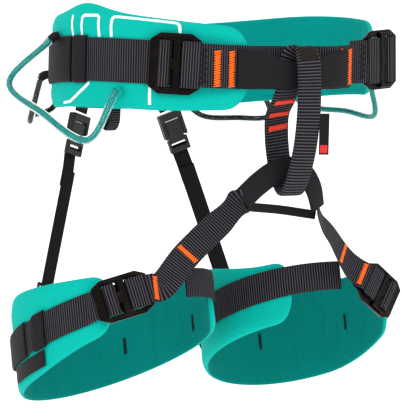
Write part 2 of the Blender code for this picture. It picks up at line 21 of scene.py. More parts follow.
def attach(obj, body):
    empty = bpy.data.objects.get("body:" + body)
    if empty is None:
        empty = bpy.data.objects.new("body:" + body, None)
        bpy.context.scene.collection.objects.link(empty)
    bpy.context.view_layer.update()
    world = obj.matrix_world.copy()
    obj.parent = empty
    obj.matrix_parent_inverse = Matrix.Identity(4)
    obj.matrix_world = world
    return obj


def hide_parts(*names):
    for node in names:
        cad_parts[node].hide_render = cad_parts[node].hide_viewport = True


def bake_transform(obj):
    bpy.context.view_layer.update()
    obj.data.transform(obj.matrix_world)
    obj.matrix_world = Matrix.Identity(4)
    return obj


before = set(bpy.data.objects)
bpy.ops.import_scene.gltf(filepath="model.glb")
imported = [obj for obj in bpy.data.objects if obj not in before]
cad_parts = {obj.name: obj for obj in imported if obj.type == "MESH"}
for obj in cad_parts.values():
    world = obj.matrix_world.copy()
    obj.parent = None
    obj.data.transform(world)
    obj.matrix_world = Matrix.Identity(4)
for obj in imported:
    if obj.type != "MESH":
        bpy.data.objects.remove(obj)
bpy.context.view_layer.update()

LOG = logging.getLogger("harness")
MM = 0.001
TAU = 2 * math.pi
# The webbing's thickness, and the clearance left where two layers lie on each other.
WEB = 1.4
GAP = 0.4
# The belt's and leg loops' buckles: how far the frame lies off the webbing's middle, its
# thickness, the width of its end and middle bars, and the slider's thickness.
FRAME_OFF = 1.6
PLATE = 4.0
END_BAR = 9.0
MID_BAR = 6.0
SLIDER_PLATE = 2.6
# The angles of a strap's profile points, none of them on its corners.
PROFILE = np.linspace(0, TAU, 24, endpoint=False) + TAU / 48


class Side(Enum):
    """The wearer's two sides, with the sign of X on each."""

    RIGHT = -1
    LEFT = 1

    @property
    def word(self) -> str:
        """The side's name as the bodies and nodes spell it."""
        return self.name.lower()


class Part(Enum):
    """Which of a pad's materials a face takes."""

    FACE = 0
    LINING = 1
    BINDING = 2


# ---------------------------------------------------------------- curves and surfaces


def unit(vectors: Any) -> np.ndarray:
    """The vectors divided by their own lengths."""
    vectors = np.asarray(vectors, float)
    return vectors / np.linalg.norm(vectors, axis=-1, keepdims=True)


def smooth_step(low: float, high: float, x: Any) -> np.ndarray:
    """0 below `low`, 1 above `high`, and u*u*(3 - 2u) between."""
    u = np.clip((np.asarray(x, float) - low) / (high - low), 0, 1)
    return u * u * (3 - 2 * u)


def through(points: Any, count: int, closed: bool = False) -> np.ndarray:
    """A Catmull-Rom curve: half of 2b + (c-a)u + (2a-5b+4c-d)u^2 + (3b-a-3c+d)u^3.

    Args:
        points: the points it passes, one row each.
        count: how many samples it is read at, evenly spaced in the points' numbering.
        closed: whether it runs back to its start.

    Returns:
        The samples, (count, columns).
    """
    points = np.asarray(points, float)
    if closed:
        padded = np.concatenate([points[-1:], points, points[:2]])
        at = np.arange(count) * len(points) / count
    else:
        ends = 2 * points[[0, -1]] - points[[1, -2]]
        padded = np.concatenate([ends[:1], points, ends[1:]])
        at = np.linspace(0, len(points) - 1, count)
    low = np.minimum(at.astype(int), len(padded) - 4)
    u = (at - low)[:, None]
    a, b, c, d = (padded[low + i] for i in range(4))
    return 0.5 * (
        2 * b + (c - a) * u + (2 * a - 5 * b + 4 * c - d) * u**2 + (3 * b - a - 3 * c + d) * u**3
    )


def lengths_of(points: np.ndarray) -> np.ndarray:
    """The distance along a polyline at each of its points: a running sum of |p[i+1] - p[i]|."""
    steps = np.linalg.norm(np.diff(points, axis=0), axis=1)
    return np.concatenate([[0.0], np.cumsum(steps)])


def tangents(points: np.ndarray, closed: bool = False) -> np.ndarray:
    """Unit tangents by central differences."""
    if closed:
        return unit(np.roll(points, -1, axis=0) - np.roll(points, 1, axis=0))
    return unit(np.gradient(points, axis=0))


def crossways(centres: np.ndarray, aim: Any, width: Any) -> np.ndarray:
    """A strap's width vectors, square to its path and to `aim`: unit(tangent x aim) * width."""
    return unit(np.cross(tangents(centres), aim)) * width


@dataclass
class Place:
    """A spot with three axes: along the webbing (p), up across it (h) and outwards (q)."""

    origin: np.ndarray
    along: np.ndarray
    up: np.ndarray
    outwards: Any

    def __post_init__(self) -> None:
        """Squares the axes up and turns the outward one to the side of `outwards`."""
        self.origin = np.asarray(self.origin, float)
        self.along = unit(self.along)
        self.up = unit(np.asarray(self.up) - self.along * np.dot(self.up, self.along))
        self.out = np.cross(self.along, self.up)
        if np.dot(self.out, self.outwards) < 0:
            self.out = -self.out

    def points(self, p: Any, h: Any, q: Any) -> np.ndarray:
        """World points at origin + p*along + h*up + q*out."""
        p, h, q = np.broadcast_arrays(*(np.asarray(v, float)[..., None] for v in (p, h, q)))
        return self.origin + p * self.along + h * self.up + q * self.out


@dataclass
class Track:
    """The closed line of the middle of the webbing round the waist or a thigh.

    A point at t is centre + (side*a*sin t, -b*cos t, height(t)), where height(t) is
    rise*sin^2 t - drop*(1 - cos t)/2 + slope*cos t - tilt*sin t.
    """

    centre: tuple[float, float, float]
    half_width: float
    half_depth: float
    side: int = 1
    rise: float = 0.0
    drop: float = 0.0
    slope: float = 0.0
    tilt: float = 0.0
    lean: float = 0.0

    def __post_init__(self) -> None:
        """Keeps a table of the distance along the line at every degree."""
        self.up = np.array([0.0, self.lean, 1.0])
        self.angles = np.arange(-360.0, 721.0)
        self.lengths = lengths_of(self.line(self.angles))

    def line(self, t: Any) -> np.ndarray:
        """Points of the line itself."""
        r = np.radians(np.asarray(t, float))
        z = self.rise * np.sin(r) ** 2 - self.drop * (1 - np.cos(r)) / 2
        z = z + self.slope * np.cos(r) - self.tilt * np.sin(r)
        x, y = self.side * self.half_width * np.sin(r), -self.half_depth * np.cos(r)
        return np.asarray(self.centre) + np.stack([x, y, z], axis=-1)

    def out(self, t: Any) -> np.ndarray:
        """Horizontal unit normals, outwards: (side*sin t / a, -cos t / b, 0) made unit."""
        r = np.radians(np.asarray(t, float))
        x, y = self.side * np.sin(r) / self.half_width, -np.cos(r) / self.half_depth
        return unit(np.stack([x, y, 0 * x], axis=-1))

    def tangent(self, t: Any) -> np.ndarray:
        """Unit tangents in the direction of rising t."""
        t = np.asarray(t, float)
        return unit(self.line(t + 0.5) - self.line(t - 0.5))

    def point(self, t: Any, n: Any = 0.0, h: Any = 0.0) -> np.ndarray:
        """line(t) + n*out(t) + h*up, the wall leaning back as `lean` says."""
        n, h = (np.asarray(v, float)[..., None] for v in (n, h))
        return self.line(t) + n * self.out(t) + h * self.up

    def distance(self, t: Any) -> np.ndarray:
        """The signed distance along the line from its front to t."""
        return np.interp(t, self.angles, self.lengths) - np.interp(0.0, self.angles, self.lengths)

    def at_distance(self, s: Any) -> np.ndarray:
        """The angle at the signed distance s along the line from its front."""
        start = np.interp(0.0, self.angles, self.lengths)
        return np.interp(np.asarray(s, float) + start, self.lengths, self.angles)

    def upright(self, t: Any, width: float) -> np.ndarray:
        """Width vectors up the wall: width / sqrt(1 - slope^2), so the strap's width is true."""
        slope = self.tangent(t)[..., 2:]
        return self.up * width / np.sqrt(1 - slope**2)

    def place(self, t: float, n: float, toward: int) -> Place:
        """A place on the line with its p axis toward rising (1) or falling (-1) t."""
        return Place(self.point(t, n), toward * self.tangent(t), self.up, self.out(t))


WAIST = Track((0, 0, 0), 154.0, 129.0, rise=10.0, drop=14.0)
THIGH_RADIUS = 88.2
THIGHS = {
    side: Track(
        (side.value * 100.7, 4.9, -231.0),
        THIGH_RADIUS,
        THIGH_RADIUS,
        side.value,
        slope=0.47 * THIGH_RADIUS,
        tilt=0.10 * THIGH_RADIUS,
        lean=0.2,
    )
    for side in Side
}


# ---------------------------------------------------------------- materials


def linear(code: str) -> tuple[float, float, float, float]:
    """An sRGB hex colour as linear RGBA: ((c + 0.055) / 1.055)^2.4 above 0.04045, else c / 12.92."""
    c = np.array([int(code[i : i + 2], 16) for i in (1, 3, 5)]) / 255
    rgb = np.where(c > 0.04045, ((c + 0.055) / 1.055) ** 2.4, c / 12.92)
    return (*map(float, rgb), 1.0)


def add(tree: Any, kind: str, inputs: dict[Any, Any] | None = None, **settings: Any) -> Any:
    """Adds a node with its settings, and sets or links its inputs.

    Args:
        tree: the node tree.
        kind: the node's type without its ShaderNode prefix.
        inputs: input name or number to a value, or to an output socket to link.
        settings: the node's own properties.

    Returns:
        The node.
    """
    made = tree.nodes.new("ShaderNode" + kind)
    for key, value in settings.items():
        setattr(made, key, value)
    for key, value in (inputs or {}).items():
        if isinstance(value, bpy.types.NodeSocket):
            tree.links.new(value, made.inputs[key])
        else:
            made.inputs[key].default_value = value
    return made


def bands(pitch_mm: float) -> float:
    """The Wave texture's scale for bands this far apart: 2*pi / (20 * pitch in metres)."""
    return TAU / (20 * pitch_mm * MM)


def wave(tree: Any, uv: Any, pitch: float, axis: str, more: dict[str, float] | None = None) -> Any:
    """The height socket of a wave texture with bands `pitch` millimetres apart along an axis."""
    inputs = {"Vector": uv, "Scale": bands(pitch), **(more or {})}
    return add(tree, "TexWave", inputs, bands_direction=axis).outputs["Fac"]


def noise(tree: Any, vector: Any, scale: float, detail: float) -> Any:
    """The height socket of a noise texture."""
    inputs = {"Vector": vector, "Scale": scale, "Detail": detail}
    return add(tree, "TexNoise", inputs).outputs["Fac"]


def ramp(tree: Any, value: Any, span: Sequence = (0.0, 1.0), to: Sequence = (0.0, 1.0)) -> Any:
    """A socket that takes `value` from one span to the other in proportion, held at the ends."""
    names = ("Value", "From Min", "From Max", "To Min", "To Max")
    return add(tree, "MapRange", dict(zip(names, (value, *span, *to)))).outputs[0]


def maths(tree: Any, operation: str, a: Any, b: Any = 0.0) -> Any:
    """A socket with the result of an operation on two numbers or sockets."""
    return add(tree, "Math", {0: a, 1: b}, operation=operation).outputs[0]


def scaled(tree: Any, colour: Any, level: Any) -> Any:
    """A socket with a colour times a level."""
    return add(tree, "VectorMath", {0: colour, "Scale": level}, operation="SCALE").outputs[0]


def mix(tree: Any, share: Any, low: Any, high: Any) -> Any:
    """A socket with the first colour turned into the second by `share`."""
    return add(tree, "Mix", {0: share, 6: low, 7: high}, data_type="RGBA").outputs[2]


@dataclass(frozen=True)
class Finish:
    """A plain finish: one colour with a little cloudy variation, and the shader's own values."""

    name: str
    colour: str
    roughness: float = 0.7
    metallic: float = 0.0
    sheen: float = 0.0
    coat: float = 0.0
    cloud: float = 0.10
    specular: float = 0.5

    def material(self) -> bpy.types.Material:
        """The finish's material, made once."""
        known = bpy.data.materials.get(self.name)
        if known:
            return known
        made = bpy.data.materials.new(self.name)
        made.use_nodes = True
        tree = made.node_tree
        shader = tree.nodes["Principled BSDF"]
        shader.inputs["Roughness"].default_value = self.roughness
        shader.inputs["Metallic"].default_value = self.metallic
        shader.inputs["Sheen Weight"].default_value = self.sheen
        shader.inputs["Sheen Roughness"].default_value = 0.4
        shader.inputs["Sheen Tint"].default_value = linear(self.colour)
        shader.inputs["Specular IOR Level"].default_value = self.specular
        shader.inputs["Coat Weight"].default_value = self.coat
        place = add(tree, "TexCoord")
        colour = self.colour_of(tree, place, shader)
        clouds = noise(tree, place.outputs["Object"], 24.0, 3.0)
        level = ramp(tree, clouds, to=(1 - self.cloud, 1 + self.cloud))
        tree.links.new(scaled(tree, colour, level), shader.inputs["Base Color"])
        return made

    def colour_of(self, tree: Any, place: Any, shader: Any) -> Any:
        """The socket of the finish's own colour, with its relief joined to the shader."""
        return self.plain(tree, self.colour)

    def plain(self, tree: Any, code: str) -> Any:
        """A socket that holds one colour."""
        made = add(tree, "RGB")
        made.outputs[0].default_value = linear(code)
        return made.outputs[0]

    def relief(self, tree: Any, shader: Any, heights: Sequence[tuple[Any, float]]) -> None:
        """Joins bumps in a chain, each a height socket and how deep it is in millimetres."""
        normal = None
        for height, depth in heights:
            bump = add(tree, "Bump", {"Height": height, "Strength": 1.0, "Distance": depth * MM})
            if normal is not None:
                tree.links.new(normal, bump.inputs["Normal"])
            normal = bump.outputs[0]
        if normal is not None:
            tree.links.new(normal, shader.inputs["Normal"])


@dataclass(frozen=True)
class Woven(Finish):
    """A woven strap: ribs across it at `rib` millimetres and fine yarns along it.

    The colour goes from `colour` in the furrows to a lighter colour on the ribs, a painted highlight where
    the ribs catch the light.
    """

    crest: str = "#4E4D53"
    rib: float = 2.8
    yarn: float = 1.5
    depth: float = 0.5
    sharp: float = 0.45

    def colour_of(self, tree: Any, place: Any, shader: Any) -> Any:
        """Ribs from a wave along u, yarns from a wave along v, both from the piece's own UV."""
        uv = place.outputs["UV"]
        ribs = wave(tree, uv, self.rib, "X", {"Distortion": 0.35, "Detail": 1.0, "Detail Scale": 4.0})
        yarns = wave(tree, uv, self.yarn, "Y", {"Distortion": 0.5})
        # How much of the painted highlight shows: most on the rib crests.
        crest = ramp(tree, ribs, (self.sharp, 1.0))
        grain = ramp(tree, yarns, to=(0.55, 1.0))
        self.relief(tree, shader, [(ribs, self.depth), (yarns, self.depth / 3)])
        share = maths(tree, "MULTIPLY", crest, grain)
        return mix(tree, share, linear(self.colour), linear(self.crest))


@dataclass(frozen=True)
class PadCloth(Finish):
    """Face fabric or lining: a plain weave of `yarn` millimetres and a line of edge stitching.

    Creases come from a noise drawn out along v, and `crease` sets how deep they are. The
    stitching lies where the attribute "edge", the distance from the pad's edge, is near `seam`
    millimetres, and a diagonal wave breaks it into stitches.
    """

    seam_colour: str = "#067F78"
    yarn: float = 1.5
    crease: float = 0.2
    seam: float = 4.6

    def colour_of(self, tree: Any, place: Any, shader: Any) -> Any:
        """Weave and creases from the UV, stitching from the edge attribute."""
        uv = place.outputs["UV"]
        warp, weft = (wave(tree, uv, self.yarn, axis) for axis in ("X", "Y"))
        weave = maths(tree, "MULTIPLY", warp, weft)
        drawn = add(tree, "Mapping", {"Vector": uv, "Scale": (60.0, 9.0, 1.0)})
        crease = noise(tree, drawn.outputs[0], 1.0, 4.0)
        edge = add(tree, "Attribute", attribute_name="edge")
        off = maths(tree, "SUBTRACT", edge.outputs["Fac"], self.seam)
        line = ramp(tree, maths(tree, "ABSOLUTE", off), (0.75, 0.35))
        stitch = maths(tree, "GREATER_THAN", wave(tree, uv, 4.0, "DIAGONAL"), 0.35)
        groove = maths(tree, "MULTIPLY", line, -1.0)
        self.relief(tree, shader, [(crease, self.crease * 10), (weave, 0.12), (groove, 0.15)])
        level = ramp(tree, weave, to=(0.90, 1.08))
        cloth = scaled(tree, self.plain(tree, self.colour), level)
        return mix(tree, maths(tree, "MULTIPLY", line, stitch), cloth, linear(self.seam_colour))


@dataclass(frozen=True)
class Speckled(Finish):
    """A hard finish with fine pits or scuffs: noise of `grit` millimetres in relief and colour."""

    scuff: str = "#3A332E"
    grit: float = 1.2
    depth: float = 0.03
    share: float = 0.35

    def colour_of(self, tree: Any, place: Any, shader: Any) -> Any:
        """Scuffs where a broad noise is high, and a fine noise for the surface."""
        coords = place.outputs["Object"]
        fine = noise(tree, coords, 1 / (self.grit * MM), 4.0)
        worn = ramp(tree, noise(tree, coords, 90.0, 5.0), (0.52, 0.72), (0.0, self.share))
        self.relief(tree, shader, [(fine, self.depth)])
        return mix(tree, worn, linear(self.colour), linear(self.scuff))


@dataclass(frozen=True)
class Clear(Finish):
    """A clear plastic tube: it lets the core show through and mirrors the lights."""

    index: float = 1.06

    def material(self) -> bpy.types.Material:
        """The plain finish made to let light through, bent by `index`."""
        made = super().material()
        shader = made.node_tree.nodes["Principled BSDF"]
        shader.inputs["Transmission Weight"].default_value = 1.0
        shader.inputs["IOR"].default_value = self.index
        return made


# Polyester plain weave, piece-dyed: matt and even, with a soft bloom where the light grazes it.
FACE = PadCloth(
    "polyester_face_cloth", "#00AFA1", 0.8, sheen=0.25, cloud=0.05, specular=0.08, seam_colour="#00A799"
)
# Brushed polyester knit: darker than the face cloth, and creased where the pad bends inwards.
KNIT = {"sheen": 0.2, "cloud": 0.1, "specular": 0.06, "crease": 0.5}
LINING = PadCloth("brushed_knit_lining", "#008F88", 0.9, seam_colour="#00857E", **KNIT)
# The leg pads' lining is the same knit in a darker colour, with darker stitching too: painted shade for the
# shadow that the leg lining lies in.
SHADED_LEG_LINING = PadCloth("brushed_knit_leg_lining", "#007972", 0.9, seam_colour="#006F69", **KNIT)
# Polyester tape, folded over the pads' edges: finer than the face cloth, stitched close to its edge.
BINDING = PadCloth(
    "binding_tape", "#00A599", 0.8, sheen=0.2, cloud=0.05, specular=0.08, yarn=1.2, seam=2.0,
    seam_colour="#009689",
)
# Polyamide webbing, woven ribbed: the grey lines where the ribs catch the light are a painted highlight over
# near-black furrows.
STRAP = {"sheen": 0.15, "specular": 0.14}
WEBBING = Woven(
    "ribbed_polyamide_webbing", "#0B0A0D", 0.72, crest="#535158", sharp=0.55, rib=2.3, **STRAP
)
HEAVY = Woven(
    "heavy_polyamide_webbing", "#0B0A0D", 0.74, crest="#5A5860", rib=2.8, depth=0.8, sharp=0.5, **STRAP
)
# Close-woven polyamide tape: hardly any rib, so it looks smooth and even, with a faint painted highlight on
# its ribs.
TAPE = Woven(
    "smooth_polyamide_tape", "#0E0D10", 0.66, crest="#1D1C20", rib=1.6, yarn=1.2, depth=0.12, **STRAP
)
# Rubber cores knitted over with polyester: the loops scatter the light, so it stays dull black, with a faint
# painted highlight on its ribs.
ELASTIC = Woven(
    "knitted_elastic", "#0D0C0F", 0.78, sheen=0.15, specular=0.12, crest="#1E1D21", rib=1.5, yarn=1.8,
    depth=0.2,
)
# Bonded polyester sewing thread: a smooth filament with a slight gloss, dimmer in black.
THREAD = Finish("bonded_orange_thread", "#FF6A0C", 0.5, specular=0.3)
RED_THREAD = Finish("bonded_red_thread", "#F03A12", 0.5, specular=0.3)
DARK_THREAD = Finish("bonded_dark_thread", "#060507", 0.5, specular=0.2)
# Forged aluminium, black anodised: dark, with a soft metal gloss and brownish scuffs.
ANODISED = Speckled(
    "black_anodised_aluminium", "#161312", 0.34, metallic=1.0, scuff="#40332B", share=0.25
)
# Moulded acetal: plain dark grey plastic with a fine mould texture.
ACETAL = Speckled("moulded_acetal", "#1C1B1A", 0.45, scuff="#2C2B29", share=0.5, specular=0.3)
# Braided polyamide cord: its strands cross in a fine raised pattern, and their lighter colour on the raised
# strands is a painted highlight.
BRAID = {"rib": 2.2, "yarn": 1.6, "depth": 0.2, "specular": 0.2}
TEAL_CORD = Woven("braided_teal_cord", "#00807A", 0.6, crest="#009990", **BRAID)
BLACK_CORD = Woven("braided_black_cord", "#0A100E", 0.5, crest="#1A211F", **BRAID)
# Extruded soft PVC: a smooth clear wall that mirrors the lights, with its cord in sight.
CLEAR = Clear("clear_pvc_tube", "#FAFDFD", 0.03, coat=0.25, cloud=0.02)
# Brushed microfibre: a short brown nap that takes the shine off.
SUEDE = Finish("brushed_brown_microfibre", "#1B1411", 0.85, sheen=0.1, specular=0.2)
# Woven damask: a flat, nearly ribless black cloth with a faint painted highlight on its ribs, and the red
# yarn that its squares are woven in.
LABEL = Woven(
    "damask_label_cloth", "#0E0C0D", 0.6, sheen=0.1, specular=0.15, crest="#1A1718", rib=1.0, yarn=1.0,
    depth=0.05,
)
RED_LABEL = Finish("red_label_yarn", "#D42730", 0.6, specular=0.2)
# Screen-printed polyurethane ink: a thin even film, hardly glossy.
INK = Finish("screen_print_ink", "#F2F4F3", 0.55, cloud=0.03)


# ---------------------------------------------------------------- making pieces


def linked(name: str, data: Any) -> bpy.types.Object:
    """A new object of this data, in the scene."""
    made = bpy.data.objects.new(name, data)
    bpy.context.scene.collection.objects.link(made)
    return made


@dataclass
class Piece:
    """One visible piece: its name, the body it rides on, its finishes and what it stands for."""

    name: str
    body: str
    slot: str
    finishes: Sequence[Finish]
    nodes: Sequence[str] = ()
    blend: tuple[str, Any, Any] | None = None

    def grid(
        self,
        points: np.ndarray,
        uv: np.ndarray | None = None,
        loop: bool = False,
        which: np.ndarray | None = None,
        edge: np.ndarray | None = None,
        levels: int = 0,
    ) -> bpy.types.Object:
        """Makes the piece as a closed tube of sections.

        Point (i, j) is section i's point j. Quads join (i, j), (i, j+1), (i+1, j+1), (i+1, j),
        and the first and last sections are capped unless the tube closes on itself.

        Args:
            points: (sections, around, 3) in millimetres.
            uv: (sections, around, 2) in metres.
            loop: whether the last section joins the first.
            which: (around,) the finish's number for the faces that start at each point.
            edge: (sections, around) distances from the piece's edge in millimetres.
            levels: how many times the surface is subdivided.

        Returns:
            The object.
        """
        rows, around = points.shape[:2]
        i = np.arange(rows if loop else rows - 1)[:, None]
        j = np.arange(around)[None, :]
        i2, j2 = (i + 1) % rows, (j + 1) % around
        quads = np.stack([i * around + j, i * around + j2, i2 * around + j2, i2 * around + j], -1)
        faces = quads.reshape(-1, 4).tolist()
        if not loop:
            cap = list(range(around))
            faces += [cap[::-1], [(rows - 1) * around + k for k in cap]]
        made = self.mesh(points.reshape(-1, 3), faces)
        mesh = made.data
        if uv is not None:
            beyond = np.concatenate([uv, 2 * uv[-1:] - uv[-2:-1]])
            corners = [beyond[i, j], beyond[i, j2], beyond[i + 1, j2], beyond[i + 1, j]]
            flat = np.stack(corners, 2).reshape(-1, 2)
            if not loop:
                flat = np.concatenate([flat, uv[0, ::-1], uv[-1]])
            mesh.uv_layers.new(name="UVMap").data.foreach_set("uv", flat.ravel())
        if which is not None:
            index = np.zeros(len(mesh.polygons), int)
            index[: rows * around if loop else (rows - 1) * around] = np.tile(which, len(i))
            mesh.polygons.foreach_set("material_index", index)
        if edge is not None:
            layer = mesh.attributes.new("edge", "FLOAT", "POINT")
            layer.data.foreach_set("value", edge.ravel())
        self.outwards(mesh)
        if levels:
            made.modifiers.new("smooth", "SUBSURF").levels = levels
            made.modifiers["smooth"].render_levels = levels
        return made

    def mesh(self, points: np.ndarray, faces: list) -> bpy.types.Object:
        """The object of these points (millimetres) and faces, parented to its body unless it has a blend, in
        which case its transform is only baked.
        """
        mesh = bpy.data.meshes.new(self.name)
        mesh.from_pydata((np.asarray(points, float) * MM).tolist(), [], faces)
        for finish in self.finishes:
            mesh.materials.append(finish.material())
        mesh.shade_smooth()
        made = linked(self.name, mesh)
        if self.blend:
            self.body
            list(self.blend)
            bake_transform(made)
        else:
            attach(made, self.body)
        if self.nodes:
            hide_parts(*self.nodes)
        return made

    def outwards(self, mesh: Any) -> None:
        """Turns the faces out where the sum of corner . (corner x corner) is negative."""
        mesh.calc_loop_triangles()
        points = np.empty(len(mesh.vertices) * 3)
        mesh.vertices.foreach_get("co", points)
        points = points.reshape(-1, 3) - points.reshape(-1, 3).mean(axis=0)
        corners = np.empty(len(mesh.loop_triangles) * 3, int)
        mesh.loop_triangles.foreach_get("vertices", corners)
        if np.linalg.det(points[corners.reshape(-1, 3)]).sum() < 0:
            mesh.flip_normals()

    def strap(
        self,
        centres: np.ndarray,
        across: Any,
        thickness: float,
        loop: bool = False,
        fold: np.ndarray | None = None,
    ) -> bpy.types.Object:
        """A strap: a flattened round profile carried along a path.

        Profile point k at the angle w is at 0.5*c*|c|^(e-1) across and 0.5*s*|s|^(f-1) through
        the thickness, where c = cos w, s = sin w, e = 0.42 and f = 0.7.

        Args:
            centres: (N, 3) middle line in millimetres.
            across: (N, 3) full width vectors, or one for the whole strap.
            thickness: in millimetres.
            loop: whether it is closed on itself.
            fold: (N, profile) extra thickness in millimetres on the outer face.

        Returns:
            The object.
        """
        across = np.broadcast_to(across, centres.shape)
        c, s = np.cos(PROFILE), np.sin(PROFILE)
        wide = 0.5 * np.sign(c) * np.abs(c) ** 0.42
        thick = 0.5 * np.sign(s) * np.abs(s) ** 0.7
        out = unit(np.cross(tangents(centres, loop), across))
        lift = thick * thickness + (0 if fold is None else fold * (s > 0))
        lift = np.broadcast_to(lift, (len(centres), len(PROFILE)))[..., None]
        points = centres[:, None] + across[:, None] * wide[:, None] + out[:, None] * lift
        u = lengths_of(centres)[:, None] + 0 * wide
        v = np.linalg.norm(across, axis=1)[:, None] * wide
        return self.grid(points, np.stack([u, v], -1) * MM, loop)

    def tube(self, centres: np.ndarray, radius: float, sides: int = 8, inner: float = 0.0) -> Any:
        """A round tube: circles of `radius` about a path, turned as little as possible.

        Args:
            centres: (N, 3) in millimetres.
            radius: of the outside, in millimetres.
            sides: how many points round it.
            inner: radius of the bore, 0 for a solid cord.

        Returns:
            The object.
        """
        along = tangents(centres)
        first = unit(np.cross(along[0], (0.3, 0.2, 1.0)))
        turned = [first]
        for direction in along[1:]:
            turned.append(unit(turned[-1] - direction * turned[-1].dot(direction)))
        a = np.array(turned)[:, None]
        b = np.cross(along[:, None], a)
        w = np.linspace(0, TAU, sides, endpoint=False)[:, None]
        ring = a * np.cos(w) + b * np.sin(w)
        u = lengths_of(centres)[:, None] + 0 * w[:, 0]
        uv = np.stack([u, radius * w[:, 0] + 0 * u], -1) * MM
        if not inner:
            return self.grid(centres[:, None] + radius * ring, uv)
        points = np.concatenate([centres[:, None] + radius * ring, (centres[:, None] + inner * ring)[::-1]])
        return self.grid(points, np.concatenate([uv, uv[::-1]]), loop=True)

    def plate(
        self,
        place: Place,
        p_breaks: Sequence[float],
        h_breaks: Sequence[float],
        holes: set[tuple[int, int]],
        layer: tuple[float, float],
        bevel: float,
        clipped: bool = False,
    ) -> bpy.types.Object:
        """A plate of cells in a place's axes, some left open, with rounded edges.

        Cell (i, j) spans p_breaks[i..i+1] by h_breaks[j..j+1] and layer[0..1] outwards.

        Args:
            place: where it lies.
            p_breaks: the cells' borders along p, in millimetres.
            h_breaks: the cells' borders along h.
            holes: cells left open.
            layer: its inner and outer faces along q.
            bevel: radius of its edges.
            clipped: whether its four corners are cut across.

        Returns:
            The object.
        """
        columns, rows = len(p_breaks) - 1, len(h_breaks) - 1
        corner = {(0, 0): 0, (columns - 1, 0): 1, (columns - 1, rows - 1): 2, (0, rows - 1): 3}
        cells = []
        for i in range(columns):
            for j in range(rows):
                cell = [(i, j), (i + 1, j), (i + 1, j + 1), (i, j + 1)]
                if clipped and (i, j) in corner:
                    del cell[corner[(i, j)]]
                if (i, j) not in holes:
                    cells.append(cell)
        used = sorted({spot for cell in cells for spot in cell})
        number = {spot: k for k, spot in enumerate(used)}
        low = [[number[spot] for spot in cell] for cell in cells]
        edges = {(a, b) for cell in low for a, b in zip(cell, cell[1:] + cell[:1])}
        rim = [(a, b) for a, b in sorted(edges) if (b, a) not in edges]
        count = len(used)
        faces = [cell[::-1] for cell in low] + [[k + count for k in cell] for cell in low]
        faces += [[a, b, b + count, a + count] for a, b in rim]
        flat = np.array([(p_breaks[i], h_breaks[j]) for i, j in used])
        points = np.concatenate([place.points(flat[:, 0], flat[:, 1], q) for q in layer])
        made = self.mesh(points, faces)
        self.outwards(made.data)
        rounding = made.modifiers.new("rounding", "BEVEL")
        rounding.width = bevel * MM
        rounding.segments = 3
        rounding.limit_method = "ANGLE"
        rounding.angle_limit = math.radians(30)
        rounding.harden_normals = True
        return made


def webbing(name: str, body: str, centres: np.ndarray, across: Any) -> None:
    """A ribbed strap that stands for the node of its own name."""
    Piece(name, body, "webbing", [WEBBING], [name]).strap(centres, across, WEB)


def zigzag(
    name: str,
    body: str,
    slot: str,
    ends: np.ndarray,
    span: np.ndarray,
    out: np.ndarray,
    turns: int,
    thread: Finish = THREAD,
) -> bpy.types.Object:
    """A bar tack: thread that runs from side to side as it goes along.

    Its point k is the straight line's point k/n + (-1)^k * span/2 + out. The thread is coarser
    than a real one, which would hardly show.

    Args:
        name: the piece's name.
        body: the body it rides on.
        slot: the piece's slot, stored on it and not used.
        ends: (2, 3) the ends of the line it is sewn along.
        span: full width vector from side to side.
        out: how far it stands off the strap's middle, as a vector.
        turns: how many times it crosses.
        thread: the finish of the thread.

    Returns:
        The object.
    """
    radius, sides = 0.5, 5
    sign = np.where(np.arange(turns) % 2, 1.0, -1.0)[:, None]
    path = np.linspace(ends[0], ends[1], turns) + sign * np.asarray(span) / 2 + np.asarray(out)
    return Piece(name, body, slot, [thread]).tube(through(path, turns * 3), radius, sides)


# ---------------------------------------------------------------- pads


